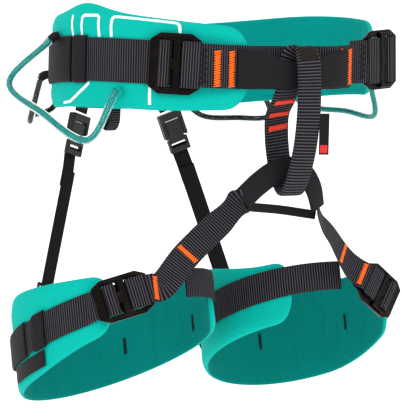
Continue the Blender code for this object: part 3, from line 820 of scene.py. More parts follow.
@dataclass
class Pad:
    """A padded band: face cloth outside, lining inside and a soft core that swells between them.

    At height share f (-1 bottom, 1 top) the outer face lies at
    n = middle + depth/2 * e(f) + swell * exp(-((|h| - 30) / 8)^2) and the inner face at
    n = middle - depth/2 * e(f) - creases, where e(f) = sqrt(1 - |f|^7).
    """

    name: str
    body: str
    track: Track
    start: float
    end: float
    reach: float
    depth: float
    nodes: Sequence[str]
    swell: float = 1.5
    middle: float = -5.4
    rows: int = 200
    lining: Finish = LINING

    def low(self, t: np.ndarray) -> np.ndarray:
        """How far the pad reaches down at t."""
        raise NotImplementedError

    def high(self, t: np.ndarray) -> np.ndarray:
        """How far the pad reaches up at t."""
        raise NotImplementedError

    def shares(self) -> tuple[np.ndarray, np.ndarray]:
        """Distances along the track from end to end, and the share of height kept at each.

        Near an end the share is (1 - u^2.6)^(1/2.6), u going from 0 to 1 over `reach`.
        """
        first, last = self.track.distance(self.start), self.track.distance(self.end)
        w = np.linspace(0, math.pi / 2, 16)
        near = self.reach * (1 - np.cos(w))
        body = np.linspace(first + self.reach, last - self.reach, self.rows)
        s = np.concatenate([first + near[:-1], body, last - near[-2::-1]])
        inside = np.minimum(s - first, last - s)
        u = np.clip(1 - inside / self.reach, 0, 1)
        return s, np.maximum(1 - u**2.6, 1e-4) ** (1 / 2.6)

    def creases(self, s: np.ndarray, f: np.ndarray) -> np.ndarray:
        """Shallow upright folds on the lining: a sum of narrow ridges along s, fading at |f| = 1."""
        rng = np.random.default_rng(len(self.name))
        folds = 26
        at = rng.uniform(s[0], s[-1], folds)
        wide = rng.uniform(2.5, 7, folds)
        tall = rng.uniform(-1.8, 2.0, folds)
        lean = rng.uniform(-9, 9, folds)
        off = (s[:, None, None] + f[None, :, None] * lean - at) / wide
        return (tall * np.exp(-(off**2))).sum(axis=-1) * (1 - np.abs(f) ** 3)

    def face(self, t: np.ndarray, h: np.ndarray, off: float = 0.0) -> np.ndarray:
        """Points on the outer face at heights h, `off` millimetres outside it."""
        middle = (self.high(t) - self.low(t)) / 2
        half = (self.high(t) + self.low(t)) / 2
        f = np.clip((h - middle) / half, -1, 1)
        return self.track.point(t, self.outer(h, f, 1.0) + off, h)

    def outer(self, h: np.ndarray, f: np.ndarray, keep: Any) -> np.ndarray:
        """The outer face's n at the height h."""
        rounded = self.rounded(f)
        bulge = self.swell * np.exp(-(((np.abs(h) - 30) / 8) ** 2)) * rounded
        return self.middle + (self.depth / 2 * rounded + bulge) * keep

    def rounded(self, f: np.ndarray) -> np.ndarray:
        """The share of its thickness that the pad keeps at f: sqrt(1 - |f|^7)."""
        return np.sqrt(np.maximum(1 - np.abs(f) ** 7, 0))

    def build(self) -> bpy.types.Object:
        """The pad as one closed surface, with its stitching distance on every point."""
        s, keep = self.shares()
        t = self.track.at_distance(s)
        f = np.sin(np.linspace(-math.pi / 2, math.pi / 2, 19))
        both = np.concatenate([f, f[-2:0:-1]])
        outside = np.arange(len(both)) < len(f)
        middle = ((self.high(t) - self.low(t)) / 2)[:, None]
        half = ((self.high(t) + self.low(t)) / 2 * keep)[:, None]
        h = middle * keep[:, None] ** 0.5 + half * both
        thick = np.minimum(1, keep * 3)[:, None] ** 0.5
        outer = self.outer(h, both[None, :], thick)
        inner = self.middle - (self.depth / 2 * self.rounded(both)) * thick
        inner = inner - self.creases(s, both) * 0.7
        n = np.where(outside, outer, inner)
        points = self.track.point(t[:, None] + 0 * n, n, h)
        from_end = np.minimum(s - s[0], s[-1] - s)[:, None]
        edge = np.minimum((1 - np.abs(both)) * half, from_end)
        uv = np.stack([s[:, None] + 0 * h, h], -1) * MM
        which = np.where(outside[:-1] & outside[1:], Part.FACE.value, Part.LINING.value)
        which = np.append(which, Part.LINING.value)
        which[[0, len(f) - 2, len(f) - 1, -1]] = Part.BINDING.value
        piece = Piece(self.name, self.body, "shell", [FACE, self.lining, BINDING], self.nodes)
        made = piece.grid(points, uv, which=which, edge=edge, levels=1)
        return made


@dataclass
class WaistPad(Pad):
    """The waist pad: tall over the right hip, with a tongue at the front right."""

    def low(self, t: np.ndarray) -> np.ndarray:
        """36 down, up to 6 more on the right flank and 2 less at the left end."""
        flank = smooth_step(210, 255, t) - 0.7 * smooth_step(305, 341, t)
        return 36 + 6 * flank - 2 * self.far(t)

    def high(self, t: np.ndarray) -> np.ndarray:
        """41 up, 8 more over the hip, less at the left end and along the tongue."""
        hip = np.exp(-(((t - 276) / 13) ** 2))
        return 41 + 8 * hip - 7 * self.far(t) - 6 * smooth_step(280, 341, t)

    def far(self, t: np.ndarray) -> np.ndarray:
        """1 at the left end, fading out round the side."""
        return 1 - smooth_step(62, 125, t)


@dataclass
class LegPad(Pad):
    """A leg pad: low at the inner thigh, tall round the outside and the back."""

    def low(self, t: np.ndarray) -> np.ndarray:
        """36 down, up to 9 less near its front end."""
        return 36 - 9 * (1 - smooth_step(self.start, self.start + 60, t))

    def high(self, t: np.ndarray) -> np.ndarray:
        """18 up at the inner thigh, 46 round the outside."""
        return 18 + 28 * smooth_step(310, 235, t) * smooth_step(10, 120, t)


@dataclass
class HipPrint:
    """White line work printed on the right hip: plain bars and open boxes."""

    pad: Pad
    width: float = 2.6
    per_degree: float = 2.7

    LINES = {
        "bar": ((-91, 38.5), (-90.6, 30), (-90.4, 19)),
        "narrow": ((-84.6, 19), (-84.4, 36.5), (-83.6, 38), (-76.4, 38), (-75.6, 36.5), (-75.4, 19)),
        "wide": ((-69.8, 19), (-69.6, 36), (-68.8, 37.4), (-45, 34.6), (-43.6, 33.6), (-43.2, 19)),
        "sweep": ((-80, -20), (-83, -26), (-87.5, -32.5), (-92, -37), (-98, -38)),
        "short": ((-53.8, -21), (-53.8, -30), (-53.8, -37)),
    }

    def build(self) -> None:
        """Each line is a thin strap of ink on the pad's face, its corners kept nearly square.

        The corners are (t, h), and a degree of t is `per_degree` millimetres of the belt. The pad
        counts t upwards from the front, so a full turn is added.
        """
        for name, corners in self.LINES.items():
            corners = np.asarray(corners, float)
            joints = lengths_of(corners * (self.per_degree, 1.0))
            at = np.linspace(0, joints[-1], 90)
            t, h = (np.interp(at, joints, corners[:, k]) for k in range(2))
            t, h = (np.convolve(np.pad(v, 2, "edge"), np.full(5, 0.2), "valid") for v in (t, h))
            centres = self.pad.face(t + 360, h, 0.12)
            across = crossways(centres, WAIST.out(t), self.width)
            Piece(f"hip_print_{name}", "waist", "shell", [INK]).strap(centres, across, 0.22)


# ---------------------------------------------------------------- buckles


@dataclass
class SlideBuckle:
    """A two-part slide buckle: a flat frame with two windows and a slider that grips on it."""

    prefix: str
    body: str
    slider_body: str
    place: Place
    length: float
    height: float
    window: float

    def build(self) -> None:
        """The frame and the slider."""
        end = self.length / 2
        Piece(
            f"{self.prefix}_frame", self.body, "buckle", [ANODISED], [f"{self.prefix}_buckle_frame"]
        ).plate(
            self.place,
            (-end, END_BAR - end, -MID_BAR / 2, MID_BAR / 2, end - END_BAR, end),
            (-self.height / 2, -self.window, self.window, self.height / 2),
            {(1, 1), (3, 1)},
            (FRAME_OFF, FRAME_OFF + PLATE),
            1.3,
            clipped=True,
        )
        floor = FRAME_OFF + PLATE + GAP
        rail = self.height / 2 - 2
        Piece(
            f"{self.prefix}_slider", self.slider_body, "buckle", [ANODISED], [f"{self.prefix}_buckle_slider"]
        ).plate(
            self.place,
            (-12.0, -7.0, -1.5, 4.5),
            (-rail, -self.window, -5.0, 5.0, self.window, rail),
            {(0, 1), (0, 2), (0, 3), (1, 1), (1, 3)},
            (floor, floor + SLIDER_PLATE),
            0.8,
        )

    def panels(self) -> None:
        """The two places where webbing shows over the plates, each an arch (p, q) in the window."""
        width = 2 * self.window - 0.4
        rear = ((-4.9, 1.0), (-5.1, 6.5), (-6.4, 9.4), (-9.5, 9.9), (-12.6, 9.4), (-13.9, 6.5), (-14.1, 1.0))
        front = ((5.4, 1.0), (5.6, 6.0), (7.0, 8.6), (11.0, 9.2), (15.0, 9.0), (19.5, 8.7), (22.5, 8.2))
        for name, body, arch in (("rear", self.slider_body, rear), ("front", self.body, front)):
            p, q = through(arch, 40).T
            Piece(f"{self.prefix}_panel_{name}", body, "webbing", [WEBBING]).strap(
                self.place.points(p, 0.0, q), self.place.up * width, 1.2
            )

    def turn(self, lead: float, fall: float) -> np.ndarray:
        """Webbing round the front bar: a half circle of radius (1.6 + 4 + 1.4 + 0.4) / 2."""
        reach = self.length / 2 - END_BAR
        radius = (FRAME_OFF + PLATE + WEB + GAP) / 2
        w = np.radians(np.linspace(-90, -270, 15))
        p = [reach + lead, reach + lead * 0.5, *(reach + radius * np.cos(w))]
        q = [0.0, 0.0, *(radius + radius * np.sin(w))]
        p += [reach + END_BAR * 0.5, reach + END_BAR, reach + (END_BAR + fall) / 2, reach + fall]
        q += [2 * radius, 2 * radius, radius + 1.3, 2.2]
        return self.place.points(p, 0.0, q)

    def loose_end(self, name: str, track: Track, t: np.ndarray, width: float) -> None:
        """The adjustable webbing from under the buckle round the track to its sleeve."""
        under = self.place.points(np.linspace(self.length / 2 - END_BAR - 5, -24, 9), 0.0, 0.0)
        points = np.concatenate([under, track.point(t)])
        up = self.place.up * np.sign(self.place.up[2]) * width
        across = np.concatenate([np.broadcast_to(up, under.shape), track.upright(t, width)])
        count = 3 * len(points)
        webbing(name, self.body, through(points, count), through(across, count))


def cover(
    name: str, body: str, track: Track, t: np.ndarray, width: float, thickness: float, lip: float
) -> None:
    """A tape band over the webbing whose edges turn down past the webbing's two edges.

    The section is a flat arch: at the share f across it, from -1 to 1, its middle lies at
    n = WEB/2 + GAP + thickness/2 - (lip + 0.6) * |f|^14, which bends it down only at its edges.

    Args:
        name: the piece's name, and the node's that it stands for.
        body: the body it rides on.
        track: the waist's or the thigh's line.
        t: the angles that it spans.
        width: the webbing's width in millimetres.
        thickness: the band's own, in millimetres.
        lip: how far its edges turn down.
    """
    f = np.linspace(-1, 1, 25)
    half = width / 2 + GAP + thickness * 0.6
    drop = (lip + 0.6) * np.abs(f) ** 14
    middle = WEB / 2 + GAP + thickness / 2 - drop
    n = np.concatenate([middle + thickness / 2, (middle - thickness / 2)[::-1]])
    h = np.concatenate([half * f, half * f[::-1]])
    steep = 1 / np.sqrt(1 - track.tangent(t)[:, 2:] ** 2)
    points = track.point(t[:, None] + 0 * n, n + 0 * t[:, None], h * steep)
    uv = np.stack([track.distance(t)[:, None] + 0 * h, h + 0 * t[:, None]], -1) * MM
    Piece(name, body, "smooth", [TAPE], [name]).grid(points, uv)


# ---------------------------------------------------------------- waist belt


@dataclass
class WaistBelt:
    """The padded waist belt with its webbing, buckles, covers and the upper tie-in loop."""

    webbing: float = 38.0
    front_dip: float = 12.2
    pad: WaistPad = field(
        default_factory=lambda: WaistPad(
            "waist_pad",
            "waist",
            WAIST,
            62.0,
            341.0,
            26.0,
            7.6,
            ["waist_pad_shell", "waist_pad_foam", "waist_pad_lining"],
            rows=300,
        )
    )

    def buckles(self) -> dict[Side, SlideBuckle]:
        """The two waist buckles: the left one stands out from the belt's curve."""
        left = Place((103.0, -103.5, 6.0), (-0.97, -0.24, -0.05), WAIST.up, (0.3, -1, 0))
        places = {Side.RIGHT: WAIST.place(-44.8, 0.0, 1), Side.LEFT: left}
        return {
            side: SlideBuckle(
                f"{side.word}_waist", "waist", f"{side.word}_waist_slider", place, 45.0, 53.0, 20.5
            )
            for side, place in places.items()
        }

    def slack(self, s: Any) -> np.ndarray:
        """How much the tie-in loop stands off the front webbing at the distance s."""
        return smooth_step(-58, -26, s) * (1 - smooth_step(2, 40, s))

    def build(self) -> None:
        """Every piece of the belt."""
        self.pad.build()
        HipPrint(self.pad).build()
        LOG.info("waist pad and print")
        buckles = self.buckles()
        for buckle in buckles.values():
            buckle.build()
            buckle.panels()
        self.straps(buckles)
        self.covers()
        self.tie_in_loop()
        self.tacks()
        LOG.info("waist webbing, covers and tie-in loop")

    def straps(self, buckles: dict[Side, SlideBuckle]) -> None:
        """The ribbed webbing in four lengths."""
        for side, t in (
            (Side.RIGHT, np.linspace(-57, -96, 14)),
            (Side.LEFT, np.linspace(66, 98, 12)),
        ):
            buckles[side].loose_end(f"{side.word}_waist_webbing", WAIST, t, self.webbing)
        t = np.linspace(100, 262, 120)
        webbing("back_waist_webbing", "waist", WAIST.point(t), WAIST.upright(t, self.webbing))
        webbing("front_waist_webbing", "waist", self.front_line(), (0.0, 0.0, self.webbing))

    def front_line(self) -> np.ndarray:
        """The front webbing from buckle to buckle: n = 2.2 - dip * slack between its two turns."""
        t = np.linspace(-24, 22, 46)
        front = WAIST.point(t, 2.2 - self.front_dip * self.slack(WAIST.distance(t)))
        turns = [buckle.turn(26.0, 25.0) for buckle in self.buckles().values()]
        return np.concatenate([turns[0], front, turns[1][::-1]])

    def outer_line(self) -> np.ndarray:
        """The front webbing's outer run, from the outermost point of one turn to the other's."""
        line = self.front_line()
        line = line[int(np.argmin(line[:, 0])) : int(np.argmax(line[:, 0])) + 1]
        return through(line, 8 * len(line))

    def covers(self) -> None:
        """Sleeves and keepers of the adjustable webbing."""
        for side, keep, sleeve in (
            (Side.RIGHT, (-81, -88), (-90, -118)),
            (Side.LEFT, (82, 89), (91, 119)),
        ):
            name = f"{side.word}_waist_sleeve"
            cover(name, "waist", WAIST, np.linspace(*sleeve, 24), self.webbing, 1.2, 1.0)
            name = f"{side.word}_waist_keeper"
            cover(name, name, WAIST, np.linspace(*keep, 8), self.webbing, 2.2, 1.0)

    def tie_in_loop(self) -> None:
        """The smooth loop, gathered where the belay loop crosses it.

        Its top edge dips by 10.5 * exp(-((s + 8) / 38)^2), and folds fan out from the dip: waves
        across the height, 0.55 high, that fade as exp(-((s + 2) / 34)^2). At the share v of its
        height it is 2 * 1.3 * sqrt(1 - |2v - 1|^6) thick.
        """
        s = np.linspace(-64, 50, 120)
        t = WAIST.at_distance(s)
        n = 4.7 - 2.4 * self.slack(s)
        high = 17.0 - 10.5 * np.exp(-(((s + 8) / 38) ** 2))
        low = -18.0
        v = np.linspace(0, 1, 23)
        h = low + (high - low)[:, None] * v
        gather = np.exp(-(((s + 2) / 34) ** 2))[:, None]
        fold = 0.55 * gather * np.sin(TAU * (v * 6 + 0.006 * s[:, None])) * np.sin(math.pi * v)
        rim = 1.3 * np.sqrt(np.maximum(1 - np.abs(2 * v - 1) ** 6, 0.02))
        outer, inner = n[:, None] + rim + fold, (n[:, None] - rim)[:, ::-1]
        h = np.concatenate([h, h[:, ::-1]], 1)
        points = WAIST.point(t[:, None], np.concatenate([outer, inner], 1), h)
        uv = np.stack([h, s[:, None] + 0 * h], -1) * MM
        Piece("tie_in_loop", "waist", "smooth", [TAPE], ["upper_tie_in_loop"]).grid(points, uv)

    def tacks(self) -> None:
        """Bar tacks on the front webbing: bright ones hold the loop, dark lozenges the buckles."""
        line = self.outer_line()
        out = unit(np.cross(tangents(line), (0, 0, -1.0)))
        out = out * np.sign(-out[:, 1:2])
        columns = (
            ("right_outer", -83.1, (-17.5, 13.5), 6.6, 30, THREAD),
            ("right_inner", -69.7, (-17.5, 13.5), 6.6, 30, THREAD),
            ("left", 57.0, (-15.5, 15.5), 5.6, 30, THREAD),
            ("left_small", 46.0, (13.0, 16.0), 2.4, 5, THREAD),
            ("right_plain", -93.6, (-15.5, 15.5), 6.0, 13, DARK_THREAD),
            ("left_plain", 77.2, (-15.5, 15.5), 5.2, 13, DARK_THREAD),
            ("right_line", -62.5, (-17.0, 16.0), 0.8, 24, DARK_THREAD),
        )
        for name, at, ends, wide, turns, thread in columns:
            i = int(np.argmin(np.abs(line[:, 0] - at)))
            spots = line[i] + np.outer(ends, (0, 0, 1.0))
            span = tangents(line)[i] * wide
            zigzag(f"front_tack_{name}", "waist", "webbing", spots, span, out[i] * 0.9, turns, thread)


# ---------------------------------------------------------------- belay loop and tie-ins


@dataclass
class BelayLoop:
    """The closed belay loop, its red tacks and the small flag sewn on its edge."""

    width: float = 25.0
    thickness: float = 4.4
    route: tuple = (
        (-3, -130, 16.5),
        (0, -136.5, 11.5),
        (1, -138.7, -8),
        (1, -139.2, -38),
        (0, -136, -70),
        (-1, -127.5, -98),
        (-1, -117.5, -110),
        (-1, -107, -99),
        (-2, -101, -80),
        (-4, -100, -60),
        (-7, -104.5, -42),
        (-10, -117.2, -28),
        (-11, -124.8, -14),
        (-8, -124.8, 8),
    )

    def build(self) -> None:
        """The loop, the tacks on its back strand, the patch at its top and the flag."""
        centres = through(self.route, 170, closed=True)
        along = tangents(centres, closed=True)
        across = unit(np.array([1.0, 0.0, 0.0]) - along * along[:, :1]) * self.width
        Piece("belay_loop", "belay_loop", "webbing", [HEAVY], ["belay_loop"]).strap(
            centres, across, self.thickness, loop=True
        )
        out = unit(np.cross(along, across))
        out = out * np.sign((out * (centres - centres.mean(axis=0))).sum(axis=1, keepdims=True))
        lift = self.thickness / 2 + 0.1
        front_strand = centres[:, 1] < -125.5
        for k, z in enumerate((-28.5, -40.5, -52.5)):
            i = int(np.argmin(np.abs(centres[:, 2] - z) + 1e3 * front_strand))
            half = across[i] / self.width * (self.width / 2 - 3)
            ends = np.stack([centres[i] - half, centres[i] + half])
            for face, side in (("back", 1), ("inner", -1)):
                name = f"belay_tack_{face}_{k + 1}"
                off = side * out[i] * lift
                zigzag(name, "belay_loop", "webbing", ends, along[i] * 5.2, off, 24, RED_THREAD)
        i = np.flatnonzero((centres[:, 2] > 7.5) & (centres[:, 1] < -129.2))
        patch = centres[i] + out[i] * lift
        Piece("belay_patch", "belay_loop", "webbing", [SUEDE]).strap(patch, across[i] * 0.8, 0.5)
        self.flag()

    def flag(self) -> None:
        """The folded cloth flag with a plain red square woven at its foot."""
        edge = 1.0 + self.width / 2 + GAP
        spot = Place((edge, -138.0, -57.0), (1, -0.35, 0), (0, 0, 1), (0, -1, 0))
        Piece("belay_flag", "belay_label", "label", [LABEL], ["belay_label"]).plate(
            spot, (0.0, 9.0), (-18.0, 18.0), set(), (-0.5, 0.5), 0.35
        )
        for face, layer in (("front", (0.5, 0.62)), ("back", (-0.62, -0.5))):
            Piece(f"belay_flag_square_{face}", "belay_label", "label", [RED_LABEL]).plate(
                spot, (0.8, 7.6), (-16.4, -9.6), set(), layer, 0.03
            )


@dataclass
class LowerTieIn:
    """The smooth sleeve through the belay loop's bottom, and the strap below it."""

    route: tuple = (
        (-50, -113, -115),
        (-34, -115.5, -101),
        (-17, -117, -91),
        (0, -117.3, -88.5),
        (14, -117, -92.5),
        (26, -116, -106),
        (33, -114, -124),
    )
    normals: tuple = ((0, -1, 0),) * 5 + ((0.15, -1, 0), (0.35, -1, 0))
    strap_route: tuple = (
        (-47, -110.6, -118.5),
        (-37, -108, -121.5),
        (0, -101, -125.5),
        (27, -108, -129.5),
        (33.5, -110.2, -130.6),
    )

    def build(self) -> None:
        """The arch with soft folds along it, and the narrow strap that ties its feet.

        The folds are 0.5 * sin(8 * cos w + 3u) high round the profile's angle w, and they fade as
        exp(-((u - 0.5) / 0.22)^2) along the arch.
        """
        centres, aim = through(self.route, 90), through(self.normals, 90)
        u = np.linspace(0, 1, 90)[:, None]
        across = crossways(centres, aim, 22.0 - 2.5 * smooth_step(0.45, 0.62, u))
        middle = np.exp(-(((u - 0.5) / 0.22) ** 2))
        fold = 0.5 * middle * np.sin(8 * np.cos(PROFILE) + 3 * u)
        Piece("lower_tie_in", "waist", "smooth", [TAPE], ["lower_tie_in"]).strap(
            centres, across, 3.4, fold=fold
        )
        centres = through(self.strap_route, 70)
        across = crossways(centres, (0, -1, 0), 8.0)
        Piece("crotch_strap", "waist", "smooth", [TAPE], ["crotch_strap"]).strap(centres, across, 1.4)


# ---------------------------------------------------------------- leg loops


@dataclass
class LegLoop:
    """One leg loop: pad, sewn band, adjustable webbing, buckle, covers and riser."""

    side: Side
    span: tuple[float, float]
    route: tuple
    aim: tuple[float, float, float]
    webbing: float = 25.0

    @property
    def body(self) -> str:
        """The body that the loop is."""
        return f"{self.side.word}_leg_loop"

    def place(self) -> Place:
        """Where the buckle lies: the left one hangs in line with its riser."""
        if self.side is Side.RIGHT:
            return THIGHS[self.side].place(30.0, 1.0, -1)
        return Place((122.0, -88.0, -203.0), (-0.82, -0.14, 0.55), (0.5, 0.1, 0.84), (0, -1, 0))

    def build(self) -> None:
        """Every piece of the leg loop."""
        word, track = self.side.word, THIGHS[self.side]
        parts = [f"{word}_leg_pad_{part}" for part in ("shell", "foam", "lining")]
        pad = LegPad(f"{word}_leg_pad", self.body, track, *self.span, 20.0, 6.6, parts, 1.1, -4.9)
        # The leg lining takes the knit's darker copy, which is painted shade.
        pad.lining = SHADED_LEG_LINING
        pad.build()
        t = np.linspace(108, 350, 150)
        webbing(f"{word}_leg_band", self.body, track.point(t), track.upright(t, self.webbing))
        prefix = f"{word}_leg"
        buckle = SlideBuckle(prefix, self.body, f"{prefix}_slider", self.place(), 50.0, 38.0, 14.0)
        buckle.build()
        buckle.panels()
        t = np.linspace(50 if self.side is Side.RIGHT else 60, 104, 18)
        buckle.loose_end(f"{prefix}_webbing", track, t, self.webbing)
        name = f"{prefix}_keeper"
        cover(name, name, track, np.linspace(77, 86, 8), self.webbing, 1.8, 0.9)
        name = f"{prefix}_sleeve"
        cover(name, self.body, track, np.linspace(94, 128, 26), self.webbing, 1.2, 0.9)
        self.riser(buckle)
        self.lining_bars(track)
        LOG.info("%s leg loop", word)

    def riser(self, buckle: SlideBuckle) -> None:
        """The strap from the tie-in down to the buckle, turned back round its front bar."""
        turn = buckle.turn(15.0, 21.0)[::-1]
        free = through([*self.route, turn[0], turn[2]], 60)
        centres = np.concatenate([free, turn[3:]])
        share = smooth_step(0.2, 1, np.arange(len(centres)) / len(free))[:, None]
        up = buckle.place.up * np.sign(buckle.place.up[2])
        aim = (1 - share) * np.array(self.aim) + share * up
        along = tangents(centres)
        across = unit(aim - along * (aim * along).sum(axis=1, keepdims=True)) * self.webbing
        name = f"{self.side.word}_leg_riser"
        webbing(name, self.body, centres, across)
        out = unit(np.cross(along, across))
        out = out * np.sign(-out[:, 1:2])
        for k, share_at in enumerate((0.62, 0.93)):
            i = int(share_at * len(free))
            ends = np.stack([centres[i] - across[i] * 0.4, centres[i] + across[i] * 0.4])
            zigzag(f"{name}_tack_{k + 1}", self.body, "webbing", ends, along[i] * 4.6, out[i], 22)

    def lining_bars(self, track: Track) -> None:
        """Short dark bars where the band's sewing comes through the lining, at (t, h)."""
        spots = {
            Side.RIGHT: ((222.0, -6.0), (275.0, -16.0)),
            Side.LEFT: ((165.0, 5.0), (105.0, 4.0)),
        }
        for k, (t, h) in enumerate(spots[self.side]):
            ends = track.point(np.array([t, t]), -8.5, np.array([h - 7.0, h + 7.0]))
            span = track.tangent(t) * 2.6
            name = f"{self.side.word}_lining_bar_{k + 1}"
            zigzag(name, self.body, "smooth", ends, span, -0.3 * track.out(t), 16, DARK_THREAD)


@dataclass
class LegLabel:
    """The plain cloth label under the right leg's webbing."""

    start: float = 79.0
    end: float = 113.0
    height: float = 14.0

    def build(self) -> None:
        """A thin cloth band below the webbing."""
        track = THIGHS[Side.RIGHT]
        t = np.linspace(self.start, self.end, 30)
        steep = 1 / np.sqrt(1 - track.tangent(t)[:, 2] ** 2)
        centre = -(12.5 + 3.0) * steep - self.height / 2
        Piece("leg_label", "right_leg_loop", "label", [LABEL], ["leg_label"]).strap(
            track.point(t, 0.3, centre), track.up * self.height, 0.7
        )


# ---------------------------------------------------------------- gear loops and haul loop


@dataclass
class GearLoops:
    """Four cord loops in clear tubes along the belt, and a strap loop at the back."""

    corners: dict = field(
        default_factory=lambda: {
            "right_front": ((-65, 9, -26), (-70, 33, -68), (-85, 42, -46), (-102, 45, -20), (-101, 9, 17)),
            "left_front": ((80, 9, -25), (88, 26, -54), (103, 31, -50), (118, 28, -42), (126, 9, -8)),
            "right_rear": ((-121, 9, -14), (-131, 21, -50), (-140, 26, -46), (-150, 22, -38), (-146, 9, -24)),
            "left_rear": ((159, 9, -30), (151, 17, -47), (140, 22, -51), (129, 22, -51), (131, 9, -26)),
        }
    )

    def build(self) -> None:
        """Each loop's core and tube, with the cloth tabs that its ends are sewn in."""
        for name, corners in self.corners.items():
            corners = np.asarray(corners, float)
            points = WAIST.point(corners[:, 0], corners[:, 1], corners[:, 2])
            centres = through(points, 110)
            front = name.endswith("front")
            body = f"{name}_gear_loop"
            core = TEAL_CORD if front else BLACK_CORD
            slot = "teal_cord" if front else "black_cord"
            Piece(f"{name}_cord", body, slot, [core], [f"{name}_gear_core"]).tube(centres, 2.5, 12)
            Piece(f"{name}_tube", body, "clear_tube", [CLEAR], [f"{name}_gear_tube"]).tube(
                centres, 3.5, 16, 2.7
            )
            for k, end in enumerate((0, -1)):
                lift = 4 if k else (-1.5 if front else 3)
                root = WAIST.point(corners[end, 0], 1.2, corners[end, 2] + lift)
                tab = through([root, (root + points[end]) / 2 + (0, 0, 1.0), points[end]], 14)
                teal = front and k == 0
                tab_slot, finish = ("shell", BINDING) if teal else ("smooth", TAPE)
                Piece(f"{name}_tab_{k + 1}", "waist", tab_slot, [finish]).tube(tab, 3.9, 14)
        self.haul_loop()
        LOG.info("gear loops and haul loop")

    def haul_loop(self) -> None:
        """The small strap loop at the middle of the back."""
        t = 187.0
        spots = ((0.2, -21), (0.2, -40), (1.5, -50), (7, -56), (12, -49), (9, -36), (3.6, -23))
        turned = ((1, 0), (1, 0), (1, 0.35), (0.2, -1), (1, 0), (1, 0.3), (1, 0.3))
        points = [WAIST.point(t, n, h) for n, h in spots]
        normals = [WAIST.out(t) * a + WAIST.up * b for a, b in turned]
        centres, aim = through(points, 60), through(normals, 60)
        across = crossways(centres, aim, 13.0)
        webbing("haul_loop", "waist", centres, across)


# ---------------------------------------------------------------- rear straps


@dataclass
class RearStrap:
    """One rear strap: sewn tab, release buckle, elastic strap and its slide.

    The elastic starts `start` below the top. The points held[0] below the top and held[1] above its end are
    handed to the strap as its blend, which the build does not use, and its slide begins `slide` above its
    end.
    """

    side: Side
    top: tuple[float, float, float]
    end: tuple[float, float, float]
    width: float = 16.0
    start: float = 53.0
    held: tuple[float, float] = (58.0, 34.0)
    slide: float = 30.0

    def build(self) -> None:
        """Every piece of the strap."""
        word = self.side.word
        top, end = np.array(self.top), np.array(self.end)
        along = unit(end - top)
        out = unit(np.array([0.25 * np.sign(top[0]), 1.0, 0.0]))
        spot = Place(top, along, np.cross(out, along), out)
        reach = float(np.linalg.norm(end - top))
        self.tab(spot)
        self.socket(spot)
        self.plug(spot)
        centres = spot.points(np.linspace(self.start, reach, 60), 0, 0)
        name = f"{word}_rear_strap"
        lower = f"{word}_leg_loop"
        first, last = (spot.points(p, 0, 0) * MM for p in (self.held[0], reach - self.held[1]))
        blend = (lower, first, last)
        Piece(name, "waist", "webbing", [ELASTIC], [name], blend).strap(
            centres, spot.up * self.width, WEB
        )
        low, half = reach - self.slide, self.width / 2 + 2
        layer = (WEB / 2 + GAP, WEB / 2 + GAP + 2.4)
        bars = [low + step for step in (0, 3, 5.5, 8.5, 11, 14)]
        rails = (-half, -half + 2, half - 2, half)
        Piece(f"{word}_slide", lower, "plastic", [ACETAL], [f"{word}_strap_slide"]).plate(
            spot, bars, rails, {(1, 1), (3, 1)}, layer, 0.6
        )
        LOG.info("%s rear strap", word)

    def tab(self, spot: Place) -> None:
        """The webbing tab between the belt and the socket."""
        back = WAIST.distance(187.0) + (48.0 if self.side is Side.RIGHT else -55.0)
        t = WAIST.at_distance(back)
        points = [WAIST.point(t, 0.2, -22.5), spot.points(-9, 0, 0), spot.points(-2.2, 0, 0)]
        centres, aim = through(points, 30), through([WAIST.out(t), spot.out, spot.out], 30)
        across = crossways(centres, aim, self.width)
        webbing(f"{self.side.word}_socket_tab", "waist", centres, across)

    def socket(self, spot: Place) -> None:
        """The socket: a moulded shell with a window and two grip ridges."""
        word = self.side.word
        Piece(f"{word}_socket", "waist", "plastic", [ACETAL], [f"{word}_buckle_socket"]).plate(
            spot, (0, 7, 24), (-11.5, -8, 8, 11.5), {(1, 1)}, (-4, 4), 1.4
        )
        for k in range(2):
            Piece(f"{word}_socket_ridge_{k + 1}", "waist", "plastic", [ACETAL]).plate(
                spot, (1.6 + 2.6 * k, 3.0 + 2.6 * k), (-7.5, 7.5), set(), (3.9, 4.7), 0.35
            )

    def plug(self, spot: Place) -> None:
        """The plug: a tongue between two sprung arms, and the bar that the strap turns on."""
        word = self.side.word
        body = f"{word}_rear_plug"
        Piece(f"{word}_plug", body, "plastic", [ACETAL], [f"{word}_buckle_plug"]).plate(
            spot, (8.0, 25, 29, 33, 38), (-10, -7.5, 7.5, 10), {(0, 0), (0, 2), (2, 1)}, (-2.5, 2.5), 0.9
        )
        turn = spot.points(np.array([31.0, 36, 42, 52, 68]), 0, np.array([1.0, 3.3, 2.8, 1.9, 1.75]))
        Piece(f"{word}_plug_tail", body, "webbing", [ELASTIC]).strap(
            through(turn, 24), spot.up * (self.width - 0.6), 1.2
        )


# ---------------------------------------------------------------- studio


